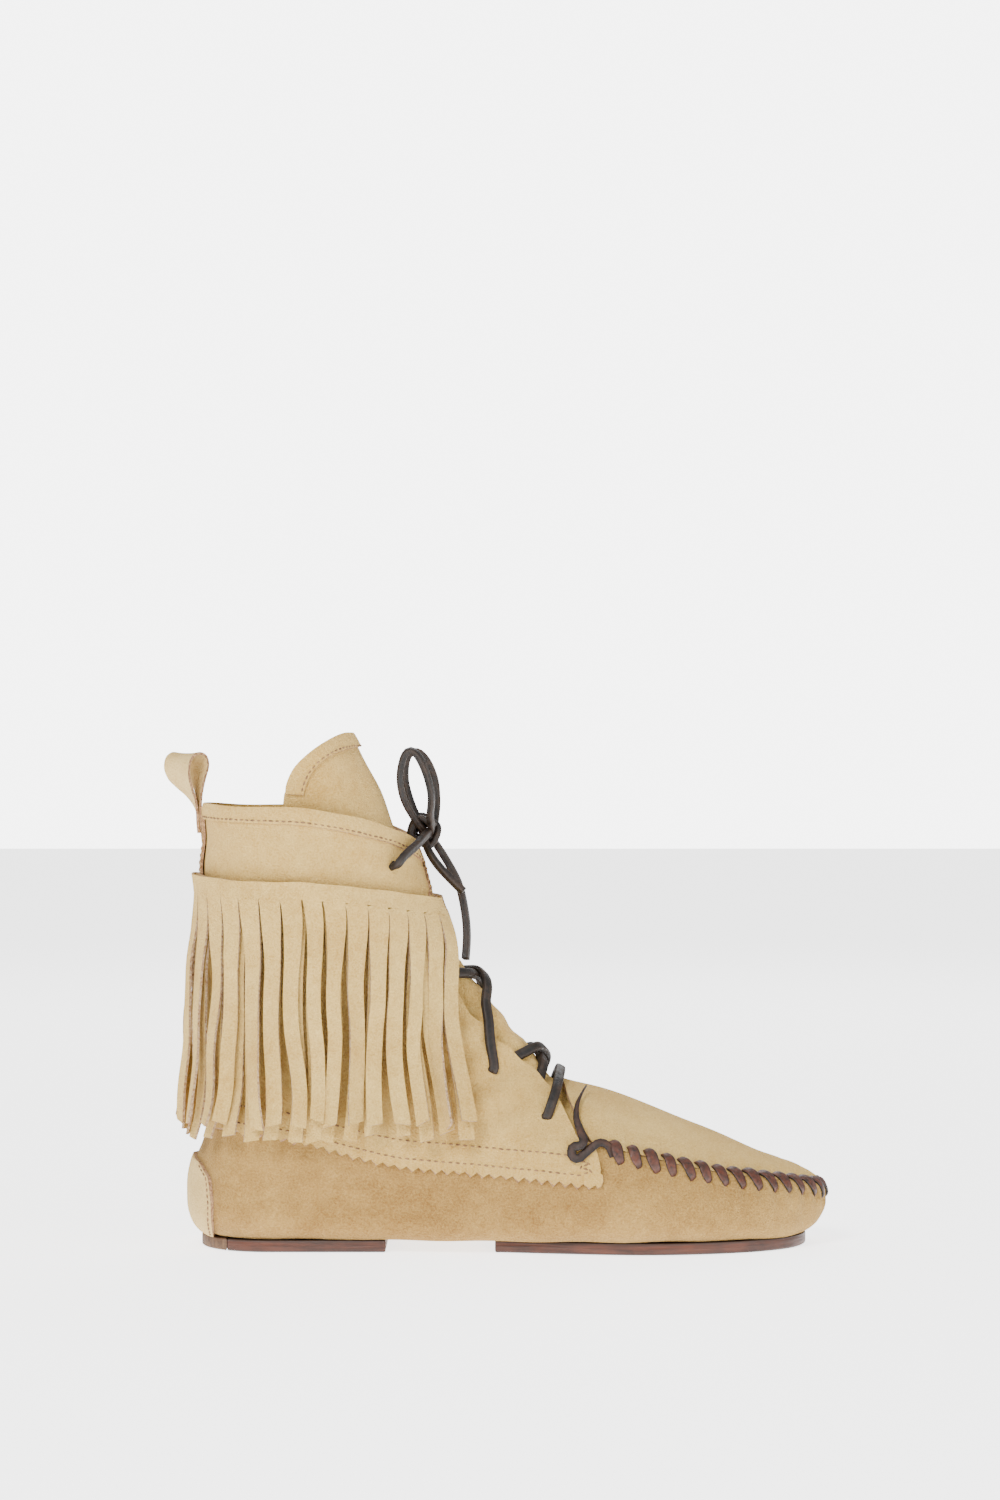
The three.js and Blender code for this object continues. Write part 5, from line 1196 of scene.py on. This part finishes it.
random.seed(5)
for sign in (-1, 1):
    for above, end_x in ((3.3, 117), (10.2, 112)):
        x = np.linspace(-33.6, end_x, 120)
        s, angle = place(x, height_on(HEM, x) + above)
        sew("boot", s, sign * angle, GAP + SUEDE + 0.05)
    zig = np.array([(114.6 + (3.6 if k % 2 else 0) + 0.25 * k, 38.6 - 1.35 * k) for k in range(9)])
    s, angle = place(zig[:, 0], zig[:, 1])
    sew("boot", s, sign * angle, GAP + SUEDE + 0.05, 2.1)
    inset = 0.16
    s = band_s[0] + (band_s[-1] - band_s[0]) * inset
    angle = np.minimum(band_angle[0] + (band_angle[-1] - band_angle[0]) * inset, back_limit)
    sew("boot", s, sign * angle, BAND_OUT + 0.22, 2.6)
    side_turn = np.pi + sign * 3.5 / SHAFT_HALF
    heights = np.linspace(SOLE + 60, SOLE + 172, 60)
    sew("boot", section_at(heights, side_turn), side_turn, BAND_OUT + 0.15)
    inner = np.pi + sign * (np.pi - edge_angle - 1.7 / 33)
    sew("boot", section_at(patch_height[1:-3], inner[1:-3]), inner[1:-3], 1.75, 2.4)
    sew("tongue", fold_s[7], sign * fold_turn[7], fold_depth[7] + 0.2 + TRIM, 2.6)
for body, laid in rows.items():
    sewn = scattered(f"sewing_{body}", [r[0] for r in laid], [r[1] for r in laid], [r[2] for r in laid],
                     thread_tree, thread_material,
                     {"Length": 1.9 * MM, "Thickness": 0.75 * MM, "Unevenness": 0.15})
    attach(sewn, body)

# ---- Pull loop -------------------------------------------------------------------------------
# A folded suede strip sewn outside the collar's back edge. It stands up and twists to one side.
LOOP_WIDTH = 15
LOOP_RINGS = 96
loop_line = [(-37.2, 0, 164, 0.0), (-37.9, 0, 171, 0.0), (-38.6, 0, 177, 0.0), (-39.2, 0, 182, 0.1),
             (-39.6, 0, 187, 0.25), (-39.8, 0, 192, 0.45), (-40.0, -0.4, 196.5, 0.65),
             (-41.8, -1.8, 199.8, 0.8), (-44.6, -4.6, 200.6, 0.85), (-47.0, -6.8, 198.6, 0.85),
             (-47.8, -7.4, 194.6, 0.8), (-47.0, -6.4, 190.2, 0.65), (-45.0, -4.2, 186.2, 0.45),
             (-42.7, -1.8, 182.6, 0.25), (-40.9, -0.4, 179, 0.1), (-39.9, 0, 175, 0.0), (-39.2, 0, 168, 0.0)]
loop_dense = rounded([p[:3] for p in loop_line], LOOP_RINGS)
loop_share = np.linspace(0, 1, LOOP_RINGS)
loop_yaw = np.interp(loop_share, np.linspace(0, 1, len(loop_line)), [p[3] for p in loop_line])
loop_pinch = np.interp(loop_share, [0, 0.2, 0.45, 0.7, 0.85, 1], [0.62, 0.7, 1.0, 1.0, 0.72, 0.62])
along = unit(np.gradient(loop_dense, axis=0))
sides = np.stack([-np.sin(loop_yaw), np.cos(loop_yaw), 0 * loop_yaw], 1)
sides = unit(sides - along * np.sum(sides * along, axis=1, keepdims=True))
normal = np.cross(along, sides)
columns = np.linspace(-0.5, 0.5, 11)
wide = columns[None, :, None] * LOOP_WIDTH * loop_pinch[:, None, None]
hollow = (0.5 * (1 - (2 * columns) ** 2))[None, :, None]
middle = loop_dense[:, None, :] + sides[:, None, :] * wide + normal[:, None, :] * hollow
loop = leather_sheet("pull_loop_strip", middle + normal[:, None, :] * TRIM / 2,
                     middle - normal[:, None, :] * TRIM / 2, pale_suede)
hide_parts("pull_loop", "pull_loop_anchor")
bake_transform(loop)

# ---- Soles -----------------------------------------------------------------------------------
# Two flat pieces of vegetable-tanned leather, cut square, burnished on top and waxed round the
# edge: a heel lift with a rubber back corner, and a forefoot sole.


def edge_leather(name, light, dark):
    """Burnished sole leather, streaked along its edge, and darker along its top and bottom borders."""
    material, tree, shader = start_material(name)
    where = add(tree, "ShaderNodeTexCoord").outputs["Object"]
    stretched = add(tree, "ShaderNodeMapping", Vector=where, Scale=(30, 30, 520)).outputs[0]
    streak = ranged(tree, noise(tree, stretched, 1.6, 4, 0.6), 0.32, 0.7)
    cloud = ranged(tree, noise(tree, where, 85, 4, 0.6), 0.35, 0.68)
    share = maths(tree, "MULTIPLY_ADD", streak, 0.6, maths(tree, "MULTIPLY", cloud, 0.45))
    height = add(tree, "ShaderNodeSeparateXYZ", Vector=where).outputs[2]
    # The edge turns darker along its top and bottom borders.
    rim = maths(tree, "MAXIMUM", ranged(tree, height, 0.0036, 0.0045), ranged(tree, height, 0.0009, 0.0001))
    body = mixed(tree, share, light, dark)
    border_darkening = mixed(tree, rim, body, tone(46, 28, 20))
    tree.links.new(border_darkening, shader.inputs["Base Color"])
    tree.links.new(ranged(tree, streak, 0, 1, 0.38, 0.6), shader.inputs["Roughness"])
    relief(tree, shader, 0.4, 0.0003, streak)
    return material


sole_edge = edge_leather("sole_leather", tone(86, 38, 12), tone(34, 14, 5))
heel_rubber, tree, shader = start_material("heel_rubber")
where = add(tree, "ShaderNodeTexCoord").outputs["Object"]
speck = ranged(tree, noise(tree, where, 600, 3, 0.6), 0.35, 0.65)
tree.links.new(mixed(tree, speck, tone(104, 76, 50), tone(72, 50, 34)), shader.inputs["Base Color"])
shader.inputs["Roughness"].default_value = 0.7
relief(tree, shader, 0.3, 0.0002, speck)
HEEL_BACK, HEEL_BREAST, HEEL_HALF, RUBBER_DEPTH = -38.0, 38.0, 29.0, 12.0
SOLE_TOP = SOLE - GAP
SOLE_LINE = [(82, -29), (110, -34.5), (140, -38.5), (166, -35.5), (188, -27.5), (203, -15), (209.5, 3),
             (205.5, 19), (192, 28.5), (168, 34), (140, 35), (110, 31.5), (82, 27)]


def sole_plate(name, outline, node, material):
    """A flat plate with eased edges."""
    outline = np.asarray(outline, float)
    centre = outline.mean(0)
    easings = [(0.0, 0.55), (0.3, 0.12), (0.8, 0.0), (SOLE_TOP - 0.6, 0.0), (SOLE_TOP - 0.15, 0.15),
               (SOLE_TOP, 0.5)]
    around = np.gradient(np.vstack([outline[-1:], outline, outline[:1]]), axis=0)[1:-1]
    inwards = np.stack([-around[:, 1], around[:, 0]], 1)
    inwards = unit(inwards)
    inwards *= np.sign(np.sum((centre - outline) * inwards, axis=1)).mean() or 1
    points, faces = [], []
    count = len(outline)
    for height, ease in easings:
        points += [(*p, height) for p in outline + inwards * ease]
    for level in range(len(easings) - 1):
        for k in range(count):
            a, b = level * count + k, level * count + (k + 1) % count
            faces.append((a, b, b + count, a + count))
    faces.append(tuple(range(count - 1, -1, -1)))
    faces.append(tuple((len(easings) - 1) * count + k for k in range(count)))
    piece = finished(name, points, faces, material, None, None, 30)
    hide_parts(node)
    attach(piece, "boot")


arc = [(HEEL_BACK + HEEL_HALF + HEEL_HALF * math.cos(t), HEEL_HALF * math.sin(t))
       for t in np.linspace(math.pi / 2, 3 * math.pi / 2, 61)]
split = HEEL_BACK + RUBBER_DEPTH
corner_y = math.sqrt(HEEL_HALF ** 2 - (split - HEEL_BACK - HEEL_HALF) ** 2)
BREAST_CUT = 0.6
front_part = [(HEEL_BREAST - BREAST_CUT, HEEL_HALF), *[p for p in arc if p[0] > split and p[1] > 0],
              (split, corner_y), (split, -corner_y), *[p for p in arc if p[0] > split and p[1] < 0],
              (HEEL_BREAST - BREAST_CUT, -HEEL_HALF), (HEEL_BREAST, -HEEL_HALF + BREAST_CUT),
              (HEEL_BREAST, HEEL_HALF - BREAST_CUT)]
rear_at = split - GAP
rear_y = math.sqrt(HEEL_HALF ** 2 - (rear_at - HEEL_BACK - HEEL_HALF) ** 2)
rear_part = [(rear_at, rear_y), *[p for p in arc if p[0] < rear_at], (rear_at, -rear_y)]
sole_plate("heel_leather", front_part, "heel_lift", sole_edge)
sole_plate("heel_rubber", rear_part, "heel_rubber_corner", heel_rubber)
sole_plate("forefoot_leather", spaced(smooth_line(SOLE_LINE, 160), 120), "forefoot_sole",
           sole_edge)

# ---- Inside ----------------------------------------------------------------------------------
# A leather sock on a pressed board lies in the bottom. A stiff counter cups the heel, and a
# narrow suede stay lies behind each row of lace holes.
sock_leather, tree, shader = start_material("sock_leather")
where = add(tree, "ShaderNodeTexCoord").outputs["Object"]
pores = ranged(tree, noise(tree, where, 700, 3, 0.6), 0.35, 0.7)
cloud = ranged(tree, noise(tree, where, 40, 3, 0.6), 0.35, 0.7)
face = mixed(tree, cloud, tone(206, 182, 142), tone(178, 150, 108))
tree.links.new(mixed(tree, pores, face, tone(160, 134, 96)), shader.inputs["Base Color"])
shader.inputs["Roughness"].default_value = 0.6
relief(tree, shader, 0.3, 0.0002, pores)
board = suede("pressed_board", tone(168, 138, 104), tone(122, 96, 70), CUT_PALE, CUT_BROWN_SHADE, 0.5)
counter_sheet = suede("counter_sheet", tone(214, 200, 172), tone(186, 168, 136), CUT_PALE, CUT_BROWN_SHADE, 0.4)
for node_name, material in (("insole_sock", sock_leather), ("insole_board", board),
                            ("heel_counter", counter_sheet), ("eyelet_stay_lateral", shaft_suede),
                            ("eyelet_stay_medial", shaft_suede)):
    node_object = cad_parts[node_name]
    node_object.data.materials.clear()
    node_object.data.materials.append(material)
